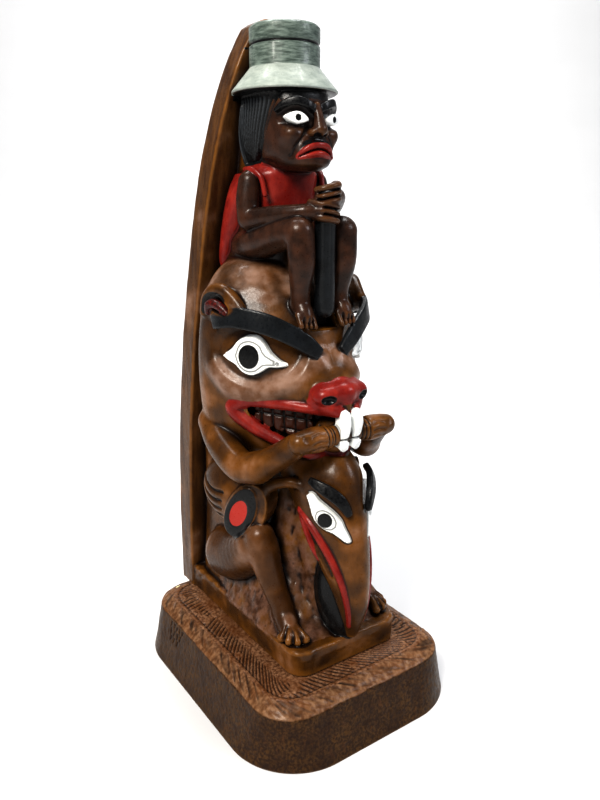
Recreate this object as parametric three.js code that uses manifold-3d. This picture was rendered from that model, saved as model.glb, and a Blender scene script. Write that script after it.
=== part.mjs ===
// Model totem pole, 304.8 mm (12 in) tall: a crouching man in a brimmed hat, a beaver biting a stick and
// a bird with its beak to the ground, cast against one tall curved back board on a low plinth.
// Millimetres, +Z up, the figures face -Y, origin at the middle of the plinth's underside.
import * as THREE from "three";
import { mergeVertices } from "three/addons/utils/BufferGeometryUtils.js";
import Module from "manifold-3d";

const wasm = await Module();
wasm.setup();
const { Manifold, Mesh } = wasm;

// ---------------------------------------------------------------- driving dimensions
const HEIGHT = 304.8; // top of the back board
const HAT_TOP = 300;
const PLINTH = {
  foot: [114.4, 141.8, 33], // width, depth, corner radius where it stands
  edge: [100.4, 128, 18.5], // the same at the top of the flared sides
  land: [88, 114, 13], // the same where the bevel ends and the flat top begins
  edgeZ: 23,
  top: 27,
};
const FIT_GAP = 0.3; // air between the pole's foot and the plinth
const POLE_X = 1.2; // the pole stands this much right of the plinth's middle
const BOARD = { thickness: 13, foot: PLINTH.top + FIT_GAP, corner: 1.4 };
const STEP = { halfWidth: 30, front: -47, height: 12, corner: 9 }; // block under the figures
const HAT = { y: 5.2, crown: 14.9, brim: 22.7, brimZ: 274.6, joint: 283.3, groove: 292.6 };
const STAFF = { radius: 4.5, y: -24, from: 186.4, to: 236 };
const STICK = { radius: 5, y: -39, z: 134.6, half: 25 };

// ---------------------------------------------------------------- shape helpers
// A three.js geometry as a closed body, its faces turned outwards whichever way it was drawn.
function solid(geometry) {
  const bare = geometry.clone();
  bare.deleteAttribute("normal");
  bare.deleteAttribute("uv");
  const g = mergeVertices(bare, 1e-4);
  const vertProperties = new Float32Array(g.attributes.position.array);
  const triVerts = new Uint32Array(g.index.array);
  const body = new Manifold(new Mesh({ numProp: 3, vertProperties, triVerts }));
  if (body.volume() > 0) return body;
  for (let i = 0; i < triVerts.length; i += 3)
    [triVerts[i + 1], triVerts[i + 2]] = [triVerts[i + 2], triVerts[i + 1]];
  return new Manifold(new Mesh({ numProp: 3, vertProperties, triVerts }));
}
const corners = (ring) => ring.map((p) => new THREE.Vector3(...p));
const fuse = (...bodies) => Manifold.union(bodies.flat());
const mirrored = (body) => body.mirror([1, 0, 0]);
const pair = (body) => [body, mirrored(body)];

// Closed skin over rings of equal length, the first and last closed by a fan.
function skin(rings) {
  const n = rings[0].length;
  const points = rings.flat();
  const index = [];
  for (let r = 0; r + 1 < rings.length; r++)
    for (let i = 0; i < n; i++) {
      const a = r * n + i, b = r * n + ((i + 1) % n);
      index.push(a, b, b + n, a, b + n, a + n);
    }
  const middle = (ring) => ring.reduce((s, p) => s.add(p), new THREE.Vector3()).divideScalar(n);
  for (const [ring, at, flip] of [[rings[0], 0, true], [rings.at(-1), (rings.length - 1) * n, false]]) {
    points.push(middle(ring));
    const hub = points.length - 1;
    for (let i = 0; i < n; i++) {
      const a = at + i, b = at + ((i + 1) % n);
      index.push(hub, flip ? b : a, flip ? a : b);
    }
  }
  const g = new THREE.BufferGeometry().setFromPoints(points);
  g.setIndex(index);
  return solid(g);
}

// Rounded rectangle at height z: [width, depth, corner radius], counter-clockwise from above.
function plan([width, depth, corner], z, perCorner = 6) {
  const ring = [];
  for (let q = 0; q < 4; q++)
    for (let i = 0; i <= perCorner; i++) {
      const a = ((q + i / perCorner) * Math.PI) / 2;
      const sx = q === 0 || q === 3 ? 1 : -1, sy = q < 2 ? 1 : -1;
      ring.push(new THREE.Vector3(
        sx * (width / 2 - corner) + corner * Math.cos(a),
        sy * (depth / 2 - corner) + corner * Math.sin(a),
        z,
      ));
    }
  return ring;
}

// A body stacked from oval levels: half width w, widest at y = mid; the front half runs to `front` with
// squareness e (1 is a straight-sided wedge, 2 an ellipse), the rear half to `back`.
function stack(levels, n = 20) {
  const bend = (c, e) => Math.sign(c) * Math.abs(c) ** (2 / e);
  return skin(levels.map(({ z, w, front, back, mid = (front + back) / 2, e = 2, eb = e }) =>
    Array.from({ length: n }, (_, i) => {
      const a = (i / n) * 2 * Math.PI, rear = Math.sin(a) > 0, k = rear ? eb : e;
      const y = mid + (rear ? back - mid : mid - front) * bend(Math.sin(a), k);
      return new THREE.Vector3(w * bend(Math.cos(a), k), y, z);
    })));
}

// Ellipsoid: centre, radii, and turns about x, y, z in degrees.
function ball(centre, radii, turn = [0, 0, 0], n = 12) {
  const g = new THREE.SphereGeometry(1, n, Math.max(6, Math.round(n * 0.6)));
  const [a, b, c] = turn.map(THREE.MathUtils.degToRad);
  const m = new THREE.Matrix4().compose(
    new THREE.Vector3(...centre),
    new THREE.Quaternion().setFromEuler(new THREE.Euler(a, b, c, "ZYX")),
    new THREE.Vector3(...radii),
  );
  return solid(g.rotateX(Math.PI / 2).applyMatrix4(m));
}

// A limb: a smooth curve through joints [x, y, z, radius], round in section, with rounded ends unless
// they are left flat.
function limb(joints, { n = 6, along = 1, rounded = true, up = [0, 0, 1] } = {}) {
  const curve = new THREE.CatmullRomCurve3(joints.map(([x, y, z]) => new THREE.Vector3(x, y, z)));
  const steps = (joints.length - 1) * along;
  const rings = [];
  const ring = (t, centre, radius) => {
    const dir = curve.getTangent(t);
    const side = new THREE.Vector3().crossVectors(dir, new THREE.Vector3(...up)).normalize();
    const over = new THREE.Vector3().crossVectors(side, dir).normalize();
    rings.push(Array.from({ length: n }, (_, i) => {
      const a = (-i / n) * 2 * Math.PI;
      return centre.clone().addScaledVector(side, radius * Math.cos(a))
        .addScaledVector(over, radius * Math.sin(a));
    }));
  };
  const cap = (t, sign, order) => {
    const r = joints[t ? joints.length - 1 : 0][3], p = curve.getPoint(t), dir = curve.getTangent(t);
    for (const turn of order)
      ring(t, p.clone().addScaledVector(dir, sign * r * Math.sin(turn)), r * Math.cos(turn));
  };
  if (rounded) cap(0, -1, [1.1]);
  for (let i = 0; i <= steps; i++) {
    const t = i / steps, s = t * (joints.length - 1), k = Math.min(Math.floor(s), joints.length - 2);
    ring(t, curve.getPoint(t), THREE.MathUtils.lerp(joints[k][3], joints[k + 1][3], s - k));
  }
  if (rounded) cap(1, 1, [1.1]);
  return skin(rings);
}

// An outline of [u, v] corners on a plane, raised along the plane's normal.
// origin is on the plane, u runs along `across`, v along `rise` made square to it.
function plate(outline, thickness, origin, across, rise, smooth = 0) {
  const u = new THREE.Vector3(...across).normalize();
  const w = new THREE.Vector3().crossVectors(u, new THREE.Vector3(...rise)).normalize();
  const v = new THREE.Vector3().crossVectors(w, u);
  let pts = outline.map(([a, b]) => new THREE.Vector2(a, b));
  if (smooth) pts = new THREE.SplineCurve([...pts, pts[0]]).getPoints(smooth).slice(0, -1);
  if (THREE.ShapeUtils.area(pts) < 0) pts.reverse();
  const g = new THREE.ExtrudeGeometry(new THREE.Shape(pts), { depth: thickness, bevelEnabled: false });
  g.translate(0, 0, -thickness / 2);
  g.applyMatrix4(new THREE.Matrix4().makeBasis(u, v, w).setPosition(...origin));
  return solid(g);
}
const oval = (a, b, n = 16) => Array.from({ length: n }, (_, i) => {
  const turn = (i / n) * 2 * Math.PI;
  return [a * Math.cos(turn), b * Math.sin(turn)];
});

const SMALL = { n: 4, rounded: false }; // toes, fingers
// A round part turned about a vertical line through y: [radius, z] up the outside.
function turned(profile, y, n = 24) {
  const g = new THREE.LatheGeometry(profile.map(([r, z]) => new THREE.Vector2(r, z)), n);
  return solid(g.rotateX(Math.PI / 2).translate(0, y, 0));
}

// ---------------------------------------------------------------- plinth
function plinth() {
  const { foot, edge, land, edgeZ, top } = PLINTH;
  const waist = foot.map((v, i) => THREE.MathUtils.lerp(v, edge[i], 0.55));
  const swell = edge.map((v, i) => THREE.MathUtils.lerp(v, land[i], 0.45));
  return skin([plan(foot, 0), plan(waist, 13), plan(edge, edgeZ), plan(swell, 25.6), plan(land, top)]);
}

// ---------------------------------------------------------------- back board
// Front face and half width of the board at a height; it leans forward as it rises.
function boardFront(z) {
  const lift = Math.max(0, z - BOARD.foot) / (HAT_TOP - BOARD.foot);
  return 52.3 - 5.5 * lift - 52 * lift ** 2 + 22 * lift ** 3;
}
// Half width at a few heights, straight in the lower part and closing to a round-shouldered arch.
const BOARD_HALF = [[BOARD.foot, 31], [70, 31.6], [125, 31.8], [168, 30.8], [205, 28.6], [224, 27.2],
  [240, 25.4], [254, 23.2], [266, 20.6], [276, 18.2], [285, 15.2], [292, 12.4], [298, 9.4], [302, 7.2],
  [HEIGHT - 1, 4.6], [HEIGHT, 2.4]];
function board() {
  const rings = BOARD_HALF.map(([z, half]) => {
    const c = BOARD.corner, front = boardFront(z), back = front + BOARD.thickness;
    const corner = (x, y, sx, sy) => [0, 1].map((k) => new THREE.Vector3(
      x + sx * c * Math.sin((k * Math.PI) / 2), y + sy * c * Math.cos((k * Math.PI) / 2), z));
    return [
      ...corner(half - c, back - c, 1, 1).reverse(),
      ...corner(-half + c, back - c, -1, 1),
      ...corner(-half + c, front + c, -1, -1).reverse(),
      ...corner(half - c, front + c, 1, -1),
    ];
  });
  return skin(rings);
}

// ---------------------------------------------------------------- core and foot block
function core() {
  const rear = (z) => boardFront(z) + 4;
  return stack([
    { z: BOARD.foot, w: 27, front: 0, back: rear(28), e: 5 },
    { z: 70, w: 26, front: -4, back: rear(70), e: 4 },
    { z: 105, w: 27, front: -8, back: rear(105), e: 4 },
    { z: 130, w: 29, front: -8, back: rear(130), e: 3 },
    { z: 190, w: 23, front: 4, back: rear(190), e: 3 },
    { z: 215, w: 17, front: 6, back: rear(215), e: 3 },
    { z: 245, w: 13, front: 3, back: rear(245), e: 3 },
    { z: 280, w: 12, front: 3, back: rear(280), e: 3 },
  ], 12);
}
function step() {
  const { halfWidth, front, height, corner } = STEP;
  const block = (grow, z) => plan([2 * (halfWidth + grow), 60 - front + 2 * grow, corner], z, 4)
    .map((p) => p.setY(p.y + (60 + front) / 2));
  return skin([block(-1, BOARD.foot), block(0, BOARD.foot + 2), block(0, BOARD.foot + height - 2.5),
    block(-1.6, BOARD.foot + height)]);
}
// Rough ground rising from the front edge to the hollow under the wings.
function ground() {
  return stack([
    { z: 30, w: 28, front: -42, back: 40, e: 4 },
    { z: 39.4, w: 28, front: -43, back: 40, e: 3.4 },
    { z: 46, w: 25, front: -33, back: 40, e: 3 },
    { z: 62, w: 20, front: -24, back: 40, e: 3 },
    { z: 84, w: 17, front: -17, back: 40, e: 3 },
    { z: 104, w: 15, front: -12, back: 40, e: 3 },
  ], 14);
}
// The ground runs on up to the back of the lower beak.
function groundUnderBeak() {
  return stack([
    { z: 30, w: 12, front: -40, back: -10 },
    { z: 42, w: 12, front: -38, back: -10 },
    { z: 60, w: 10, front: -34, back: -10 },
    { z: 80, w: 10, front: -29, back: -8 },
    { z: 96, w: 9, front: -22, back: -4 },
  ], 8);
}

// ---------------------------------------------------------------- crouching legs beside the beak
function crouchingLeg() {
  const thigh = limb([[-22.4, 21, 60, 14.2], [-23.8, 9, 64, 12.6], [-25.4, -6, 75, 9.6]], { n: 8 });
  const shin = limb([[-27, -12.5, 82, 7.6], [-25, -13.5, 69, 7.4], [-22.8, -18.5, 57, 5.8],
    [-22.2, -22.5, 49, 5.6]]);
  const foot = limb([[-22, -20, 45, 5.2], [-22.8, -27.6, 44.6, 5.4], [-24, -33, 42.4, 5]]);
  const toes = [[-29, -33.2], [-27.6, -37], [-24.6, -39.6], [-20.8, -40.2]].map(([x, y]) =>
    limb([[x * 0.5 - 11.8, y * 0.5 - 16.2, 42.4, 2.2], [x, y, 40.6, 1.9]], SMALL));
  return fuse(thigh, shin, foot, toes);
}

// ---------------------------------------------------------------- bird
function birdHead() {
  const upper = stack([
    { z: 39.6, w: 2.6, front: -49.4, back: -42 },
    { z: 45, w: 4.2, front: -52, mid: -46, back: -40 },
    { z: 56, w: 6.8, front: -55.4, mid: -44.5, back: -36 },
    { z: 67, w: 9, front: -56, mid: -41.5, back: -32 },
    { z: 80, w: 11.6, front: -55, mid: -36, back: -24 },
    { z: 91, w: 13.6, front: -53.4, mid: -31, back: -18 },
    { z: 101, w: 15, front: -51, mid: -27, back: -8 },
    { z: 110, w: 15.4, front: -48.4, mid: -24, back: 4 },
    { z: 118, w: 14, front: -44.8, mid: -20, back: 8 },
    { z: 126, w: 10, front: -38, mid: -16, back: 8 },
  ], 12);
  const lower = limb([[0, -35.5, 75, 5], [0, -36, 67, 9.2], [0, -36.8, 57, 10.4], [0, -39.4, 47, 8.8],
    [0, -42.8, 41, 4.6]], { n: 8 });
  const mouth = [-1, 1].map((s) =>
    limb([[s * 15, -27, 101, 0.8], [s * 13.2, -32.4, 90.5, 1.2], [s * 11.4, -38.4, 79.7, 1.3],
      [s * 8.8, -45, 66.7, 1.2], [s * 4, -50.4, 44.5, 0.9]], { n: 4 }));
  const brow = pair(limb([[-14.4, -34, 116.4, 1.8], [-11.8, -40.8, 113.6, 2.4], [-7.6, -46.6, 109, 2.4],
    [-3.8, -50.6, 102.4, 1.6]],
    { n: 5 }));
  const eye = pair(plate([[-13.4, 0], [-6, 4.4], [1, 4.8], [6, 3], [13.6, -0.4], [5, -3.8], [-2, -4.6],
    [-8, -3]],
    5, [-10.6, -41.6, 98.8], [0.407, -0.611, -0.681], [0.365, -0.572, 0.731], 14));
  return fuse(upper.subtract(fuse(mouth)), lower, brow, eye);
}
function wing() {
  const back = ball([-23, 14, 96], [14, 23, 17], [0, 0, 0], 9);
  const arch = limb([[-26.6, -13.4, 103, 2.4], [-24.2, -16, 107.2, 2.6], [-20.8, -19.6, 110, 2.6],
    [-17, -24.2, 110.8, 2.4], [-13.6, -28.4, 109.4, 2]], { n: 5 });
  const disc = plate(oval(9.4, 16.4, 10), 9, [-29, -3.2, 93.4], [-0.5, 0.86, 0.1], [0.06, -0.4, 0.9]);
  return fuse(back, arch, disc);
}

// ---------------------------------------------------------------- beaver
// Levels of the head from chin to crown; `inset` gives the smaller body left inside the open mouth.
const headLevels = (inset = 0) => [
  { z: 113, w: 23, front: -18, back: 35, e: 1.6 },
  { z: 122, w: 30, front: -35, back: 40, e: 1.3 },
  { z: 134, w: 36.6, front: -40, back: 40, e: 1.2 },
  { z: 147, w: 38.6, front: -43, back: 39, e: 1.2 },
  { z: 153, w: 38.8, front: -42.4, back: 38, e: 1.3 },
  { z: 160, w: 39, front: -35, back: 37, e: 1.6 },
  { z: 168, w: 38.8, front: -28.4, back: 36, e: 1.9 },
  { z: 178, w: 37.8, front: -24.6, back: 35, e: 1.9 },
  { z: 187, w: 36.4, front: -20, back: 34, e: 1.8 },
  { z: 195, w: 33, front: -13.6, back: 32, e: 1.9 },
  { z: 202, w: 27, front: -5, back: 31, e: 2 },
  { z: 206.2, w: 19, front: 0.6, back: 29, e: 2 },
  { z: 208, w: 9, front: 6, back: 26, e: 2 },
].map((l) => ({ ...l, w: l.w - inset, front: l.front + inset * 1.3, mid: 14, eb: 2.2 }));
function beaverHead() {
  const skull = stack(headLevels(), 14);
  const nose = [ball([0, -39.4, 153.6], [6, 5, 5], [0, 0, 0], 6),
    ...pair(ball([-7.4, -37, 151.4], [5, 4.6, 4.4], [0, 0, 0], 5))];
  const eye = pair(plate([[-14.8, 0], [-8, 3.6], [-4, 7.4], [2, 8.2], [7, 4.6], [14.8, -2.2], [7, -4.8],
    [2, -8.2], [-4, -8], [-8, -4.8]],
    7, [-28.2, -11.6, 166.6], [0.66, -0.75, -0.06], [0, 0, 1], 14));
  const brow = pair(limb([[-36, 6.4, 178.6, 3.2], [-34.6, -1.4, 182.8, 3.9], [-30.2, -10.2, 184, 4.2],
    [-23.6, -18.2, 182, 4.2], [-13.8, -24.2, 176.2, 3.9], [-5, -28, 169, 2.8]], { n: 4 }));
  const ear = pair(limb([[-37.2, 14, 183.4, 2.2], [-37.4, 11.6, 189.6, 2.3], [-36.8, 6.2, 194, 2.5],
    [-35.2, 0, 194.4, 2.5], [-33.4, -5, 191.2, 2.4], [-32.2, -9.6, 187.4, 2.1]], { n: 4 }));
  const opening = plate([[-30, 11], [30, 11], [25, 2.6], [12, -6.4], [-12, -6.4], [-25, 2.6]],
    70, [0, -30, 132], [1, 0, 0], [0, 0, 1]);
  const mouth = opening.subtract(stack(headLevels(7.5).slice(1, 6), 8));
  const lips = pair(limb([[-3, -42.6, 144.4, 2], [-12, -31, 145.2, 2.2], [-20, -18.6, 146, 2.5],
    [-27, -5.8, 145.4, 2.8], [-30.6, 0.4, 141.6, 3.6], [-26.4, -6, 135, 3], [-20, -15.6, 129.4, 2.5],
    [-12, -26.4, 125, 2.6], [0, -35.6, 123.6, 2.8]],
    { n: 5 }));
  const teeth = pair(plate([[-9.5, -3.6], [9.5, -6], [9.5, 4.6], [-9.5, 4.6]], 5, [-14.4, -17.4, 138.6],
    [-0.6, 0.8, 0], [0, 0, 1]));
  const incisors = [-3.1, 3.1].flatMap((x) => [
    plate([[-2.4, -3.6], [2.4, -3.6], [2.7, 5], [-2.7, 5]], 8, [x, -41.4, 140.4], [1, 0.1 * Math.sign(x), 0],
      [0, -0.1, 1]),
    plate([[-2.1, -3.2], [2.1, -3.2], [2.3, 2.8], [-2.3, 2.8]], 9, [x, -40.4, 132.4],
      [1, 0.1 * Math.sign(x), 0], [0, -0.4, 1]),
  ]);
  const head = fuse(skull, nose, eye, brow, ear).subtract(mouth);
  return fuse(head, lips, teeth, incisors, ball([0, -32, 133], [9, 9, 9], [0, 0, 0], 6));
}
function beaverArm() {
  const arm = limb([[-31, 22, 130, 7], [-34, 8, 123.5, 7.2], [-33.6, -8, 117.2, 7.2],
    [-30.6, -17.4, 118.6, 6.8], [-25, -28, 126.6, 5.8], [-22, -35, 132.4, 5.2]]);
  const { radius, y, z, half } = STICK;
  const fist = limb([[-half + radius, y, z, radius], [-15, y, z, radius + 0.4]], { n: 8 });
  return fuse(arm, fist);
}
function stick() {
  const { radius, y, z, half } = STICK;
  return limb([[-half + 6, y, z, radius - 0.7], [half - 6, y, z, radius - 0.7]], { n: 8 });
}

// ---------------------------------------------------------------- man
function manHead() {
  const face = stack([
    { z: 242.4, w: 7, front: -16, back: 8, e: 2.2 },
    { z: 244.6, w: 10.4, front: -20, back: 12, e: 2.4 },
    { z: 249, w: 12.8, front: -19.6, back: 16, e: 2.6 },
    { z: 255, w: 14.2, front: -18.4, back: 18, e: 2.6 },
    { z: 261, w: 15, front: -16.8, back: 19, e: 2.4 },
    { z: 267.4, w: 15, front: -17.4, back: 19, e: 2.4 },
    { z: 275.4, w: 13.6, front: -14, back: 19, e: 2.3 },
  ], 12);
  const nose = skin([
    [[-4.4, -15, 256.6], [4.4, -15, 256.6], [3.4, -20.6, 256.4], [0, -23.8, 257.6], [-3.4, -20.6, 256.4]],
    [[-2.6, -15, 262], [2.6, -15, 262], [2.2, -19.2, 262], [0, -22, 262.4], [-2.2, -19.2, 262]],
    [[-1.6, -15, 267.4], [1.6, -15, 267.4], [1.4, -18.2, 267.4], [0, -19.4, 267.4], [-1.4, -18.2, 267.4]],
  ].map(corners));
  const eye = pair(ball([-8.4, -16.4, 262.6], [5.1, 2.4, 3.1], [0, 0, -16], 6));
  const brow = pair(limb([[-2, -18.6, 267, 1.2], [-6.5, -18.2, 268.4, 1.6], [-11, -15.6, 268, 1.5],
    [-13.8, -11.4, 265.6, 0.9]],
    { n: 4 }));
  const lip = (z, mid, thick) => limb([[-8.8, -17.2, z, thick * 0.45], [-4.4, -19.8, mid, thick],
    [0, -20.4, mid + 0.3, thick * 1.05], [4.4, -19.8, mid, thick], [8.8, -17.2, z, thick * 0.45]],
    { n: 4 });
  return fuse(face, nose, eye, brow, lip(248.9, 252.4, 2.2), lip(248.3, 248.5, 1.8));
}
function hair() {
  const lock = skin([
    [[-11, 9, 245.4], [-12.8, 12.6, 245.4], [-13, 16.4, 245.6], [-9, 20, 245.6]],
    [[-12, 2.4, 252], [-15.2, 7.4, 251.4], [-14.4, 19, 251], [-9, 22, 251]],
    [[-12, -2.6, 259], [-16.8, 3.4, 259], [-15.2, 19.4, 259], [-9, 22, 259]],
    [[-11, -9, 268.6], [-16.6, -2.6, 269], [-15.4, 18.4, 269], [-9, 21, 269]],
    [[-8, -14.6, 275.6], [-15.6, -8.6, 275.6], [-15, 17, 275.6], [-9, 21, 275.6]],
  ].map(corners));
  return pair(lock);
}
function hat() {
  const { crown, brim, brimZ, joint, groove, y } = HAT;
  return turned([
    [0, brimZ - 2.4], [brim - 0.8, brimZ - 0.9], [brim, brimZ], [crown, joint], [crown, groove - 0.7],
    [crown - 0.7, groove], [crown, groove + 0.7], [crown, HAT_TOP - 0.8], [crown - 0.8, HAT_TOP],
    [0, HAT_TOP],
  ], y, 18);
}
function trunk() {
  const tunic = stack([
    { z: 206, w: 14, front: -2, back: 34, e: 2.6 },
    { z: 215, w: 14.6, front: -3, back: 32, e: 2.6 },
    { z: 226, w: 14, front: -4, back: 29, e: 2.5 },
    { z: 236, w: 15.6, front: -4.6, back: 27, e: 2.5 },
    { z: 242, w: 16, front: -4, back: 25, e: 2.4 },
    { z: 246.4, w: 11, front: -2, back: 23, e: 2.2 },
  ], 14);
  const collar = limb([[-12, 9, 246, 1.5], [-10.4, 0, 245.4, 1.6], [-4.6, -4.6, 241.4, 1.6],
    [0, -5.4, 240, 1.5]], { n: 5 });
  const cape = skin([
    [[-13, 24, 199.6], [-20.4, 27.4, 199.6], [-20.4, 31, 199.6], [-13, 34, 199.6]],
    [[-12, 20, 212], [-20.6, 22, 212], [-21.4, 28.4, 212], [-12, 32, 212]],
    [[-11, 12, 228], [-19.8, 14.6, 228], [-20.4, 23, 228], [-11, 30, 228]],
    [[-9, 8, 240], [-18, 8.6, 240.4], [-18.6, 18.6, 240.4], [-9, 26, 240]],
  ].map(corners));
  const neck = stack([{ z: 240, w: 12, front: -4, back: 22 }, { z: 251, w: 11.5, front: -6, back: 20 }], 10);
  return fuse(tunic, neck, pair(collar), pair(cape));
}
function manArms() {
  const upper = pair(limb([[-17.4, 6.4, 238.2, 5], [-18.8, 6, 231, 5], [-19.4, 5, 223.2, 4.7]]));
  const right = limb([[-19.2, 4.4, 222.8, 4.5], [-15.4, -8.6, 224.8, 3.9], [-9.8, -20, 226.2, 3.2],
    [-4, -24, 226.4, 3.6]]);
  const left = limb([[19.2, 4.4, 223.6, 4.5], [15.8, -8.4, 228, 3.9], [10, -19.6, 232, 3.2],
    [4, -23.6, 233, 3.6]]);
  const fist = (z, s) => [-2.7, 0, 2.7].map((k, i) =>
    limb([[s * (5.4 - 0.4 * i), STAFF.y + 0.4, z - k, 1.8], [0, STAFF.y - 4.6, z - k, 1.9],
      [-s * 5, STAFF.y, z - k, 1.6]], SMALL));
  return fuse(upper, right, left, fist(226.2, -1), fist(233.4, 1));
}
function manLeg() {
  const thigh = limb([[-12.4, 18, 210.8, 7.4], [-13.6, 5, 213.4, 7.6], [-12.4, -10, 217, 7],
    [-11.2, -20.6, 218.4, 6.4]]);
  const shin = limb([[-11.2, -22, 218, 6.2], [-10.8, -22.8, 206, 5.6], [-10.2, -21, 195, 4.3],
    [-10, -20.8, 190, 4.2]]);
  const foot = limb([[-10, -18, 188.4, 3.4], [-10.2, -23, 186.4, 3.8], [-10.4, -25.4, 183, 3.3]], { n: 6 });
  const toes = [-13.2, -10.3, -7.3].map((x, i) =>
    limb([[x, -25, 184, 1.7], [x * 1.02, -27.2 - i * 0.2, 180.8 - i * 0.3, 1.5 + i * 0.1]], SMALL));
  return fuse(thigh, shin, foot, toes);
}
function staff() {
  const { radius, y, from, to } = STAFF;
  return turned([[0, from], [radius, from], [radius, to], [0, to]], y, 12);
}
function backFill() {
  return stack([
    { z: 150, w: 9, front: -18, back: 20 },
    { z: 190, w: 9, front: -15.5, back: 20 },
    { z: 206, w: 8, front: -8, back: 24 },
    { z: 214, w: 8, front: -2, back: 24 },
  ], 12);
}

// ---------------------------------------------------------------- assembly
const body = fuse(
  board(), core(), step(), ground(), groundUnderBeak(), pair(crouchingLeg()), birdHead(), pair(wing()),
  beaverHead(), pair(beaverArm()), stick(), backFill(),
  trunk(), pair(manLeg()), manArms(), staff(), manHead(), hair(), hat(),
);

function node(name, manifold, colour) {
  const m = manifold.getMesh();
  const g = new THREE.BufferGeometry();
  g.setAttribute("position", new THREE.BufferAttribute(new Float32Array(m.vertProperties), 3));
  g.setIndex(new THREE.BufferAttribute(new Uint32Array(m.triVerts), 1));
  g.computeVertexNormals();
  const mesh = new THREE.Mesh(g, new THREE.MeshStandardMaterial({ color: colour, roughness: 0.4 }));
  mesh.name = name;
  return mesh;
}

const root = new THREE.Group();
root.add(node("base", plinth(), 0x4b2a1c));
root.add(node("pole", body.translate([POLE_X, 0, 0]), 0x6b3a1f));
export default root;
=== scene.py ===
import math

import bpy
import numpy as np
import openvdb
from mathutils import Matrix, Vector


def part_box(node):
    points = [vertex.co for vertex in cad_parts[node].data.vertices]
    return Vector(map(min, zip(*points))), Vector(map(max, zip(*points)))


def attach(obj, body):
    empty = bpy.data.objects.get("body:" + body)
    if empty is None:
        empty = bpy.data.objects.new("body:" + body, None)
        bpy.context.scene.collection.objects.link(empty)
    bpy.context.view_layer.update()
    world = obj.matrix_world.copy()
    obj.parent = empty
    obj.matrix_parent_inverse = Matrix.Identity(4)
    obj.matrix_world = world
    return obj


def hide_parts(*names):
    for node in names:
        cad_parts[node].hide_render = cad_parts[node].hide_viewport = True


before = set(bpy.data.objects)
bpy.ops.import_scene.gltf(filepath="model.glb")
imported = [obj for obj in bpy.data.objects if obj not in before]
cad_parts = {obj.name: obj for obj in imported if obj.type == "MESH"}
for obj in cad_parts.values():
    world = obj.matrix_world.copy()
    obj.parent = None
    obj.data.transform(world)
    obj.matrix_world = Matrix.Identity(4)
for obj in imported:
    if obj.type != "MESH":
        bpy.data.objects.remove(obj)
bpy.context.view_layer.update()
scene = bpy.context.scene


# ---------------------------------------------------------------- camera and room
# A pale paper sweep under one broad window light from the left, with weak fill from the right. None of it is
# part of the object.
camera = bpy.data.objects.new("camera", bpy.data.cameras.new("camera"))
camera.data.sensor_width = 36
camera.data.lens = 31.5
camera.data.clip_start = 0.01
camera.location = (-0.1766, -0.2626, 0.2311)
camera.rotation_euler = (math.radians(90 - 15.98), 0, math.radians(-34.72))
scene.collection.objects.link(camera)
scene.camera = camera
scene.view_settings.view_transform = "Standard"
scene.view_settings.exposure = 0.45
scene.view_settings.gamma = 0.8


def linear(hex_colour):
    """An sRGB hex colour as the linear RGBA that shaders use."""
    channels = [int(hex_colour[i:i + 2], 16) / 255 for i in (1, 3, 5)]
    return [c / 12.92 if c <= 0.04045 else ((c + 0.055) / 1.055) ** 2.4 for c in channels] + [1.0]


def put(tree, kind, inputs=None, **settings):
    """Adds a node: settings are its properties, inputs its sockets' values or the sockets that feed them."""
    node = tree.nodes.new("ShaderNode" + kind)
    for key, value in settings.items():
        setattr(node, key, value)
    for socket, value in (inputs or {}).items():
        if isinstance(value, bpy.types.NodeSocket):
            tree.links.new(value, node.inputs[socket])
        else:
            node.inputs[socket].default_value = value
    return node


def new_finish(name):
    """An empty material with its shader: (material, tree, principled shader)."""
    finish = bpy.data.materials.new(name)
    finish.use_nodes = True
    return finish, finish.node_tree, finish.node_tree.nodes["Principled BSDF"]


def mesh_object(name, points, faces):
    """A smooth-shaded object from corner points in metres."""
    mesh = bpy.data.meshes.new(name)
    mesh.from_pydata([tuple(p) for p in points], [], [tuple(f) for f in faces])
    mesh.polygons.foreach_set("use_smooth", [True] * len(mesh.polygons))
    mesh.update()
    piece = bpy.data.objects.new(name, mesh)
    scene.collection.objects.link(piece)
    return piece


sweep_profile = [(-3.0, 0.0), (1.2, 0.0)]
sweep_profile += [(1.2 + 0.8 * math.sin(a), 0.8 - 0.8 * math.cos(a)) for a in np.linspace(0.1, math.pi / 2,
    14)]
sweep_profile += [(2.0, 4.0)]
turn = math.radians(-34.72)
sweep_points = [
    (x * math.cos(turn) - y * math.sin(turn), x * math.sin(turn) + y * math.cos(turn), z)
    for y, z in sweep_profile for x in (-4.0, 4.0)
]
sweep = mesh_object("paper_sweep", sweep_points,
    [(2 * i, 2 * i + 1, 2 * i + 3, 2 * i + 2) for i in range(len(sweep_profile) - 1)])
paper, tree, shader = new_finish("matt white paper")
grain = put(tree, "TexNoise", {"Scale": 40.0, "Detail": 2.0})
tone = put(tree, "MixRGB", {"Fac": grain.outputs["Fac"], "Color1": linear("#c0c0c0"),
    "Color2": linear("#c6c6c6")})
tree.links.new(tone.outputs["Color"], shader.inputs["Base Color"])
shader.inputs["Roughness"].default_value = 0.9
shader.inputs["Specular IOR Level"].default_value = 0.1
sweep.data.materials.append(paper)

world = bpy.data.worlds.new("soft room")
world.use_nodes = True
world.node_tree.nodes["Background"].inputs["Color"].default_value = linear("#f6f8ff")
world.node_tree.nodes["Background"].inputs["Strength"].default_value = 0.22
scene.world = world


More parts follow.
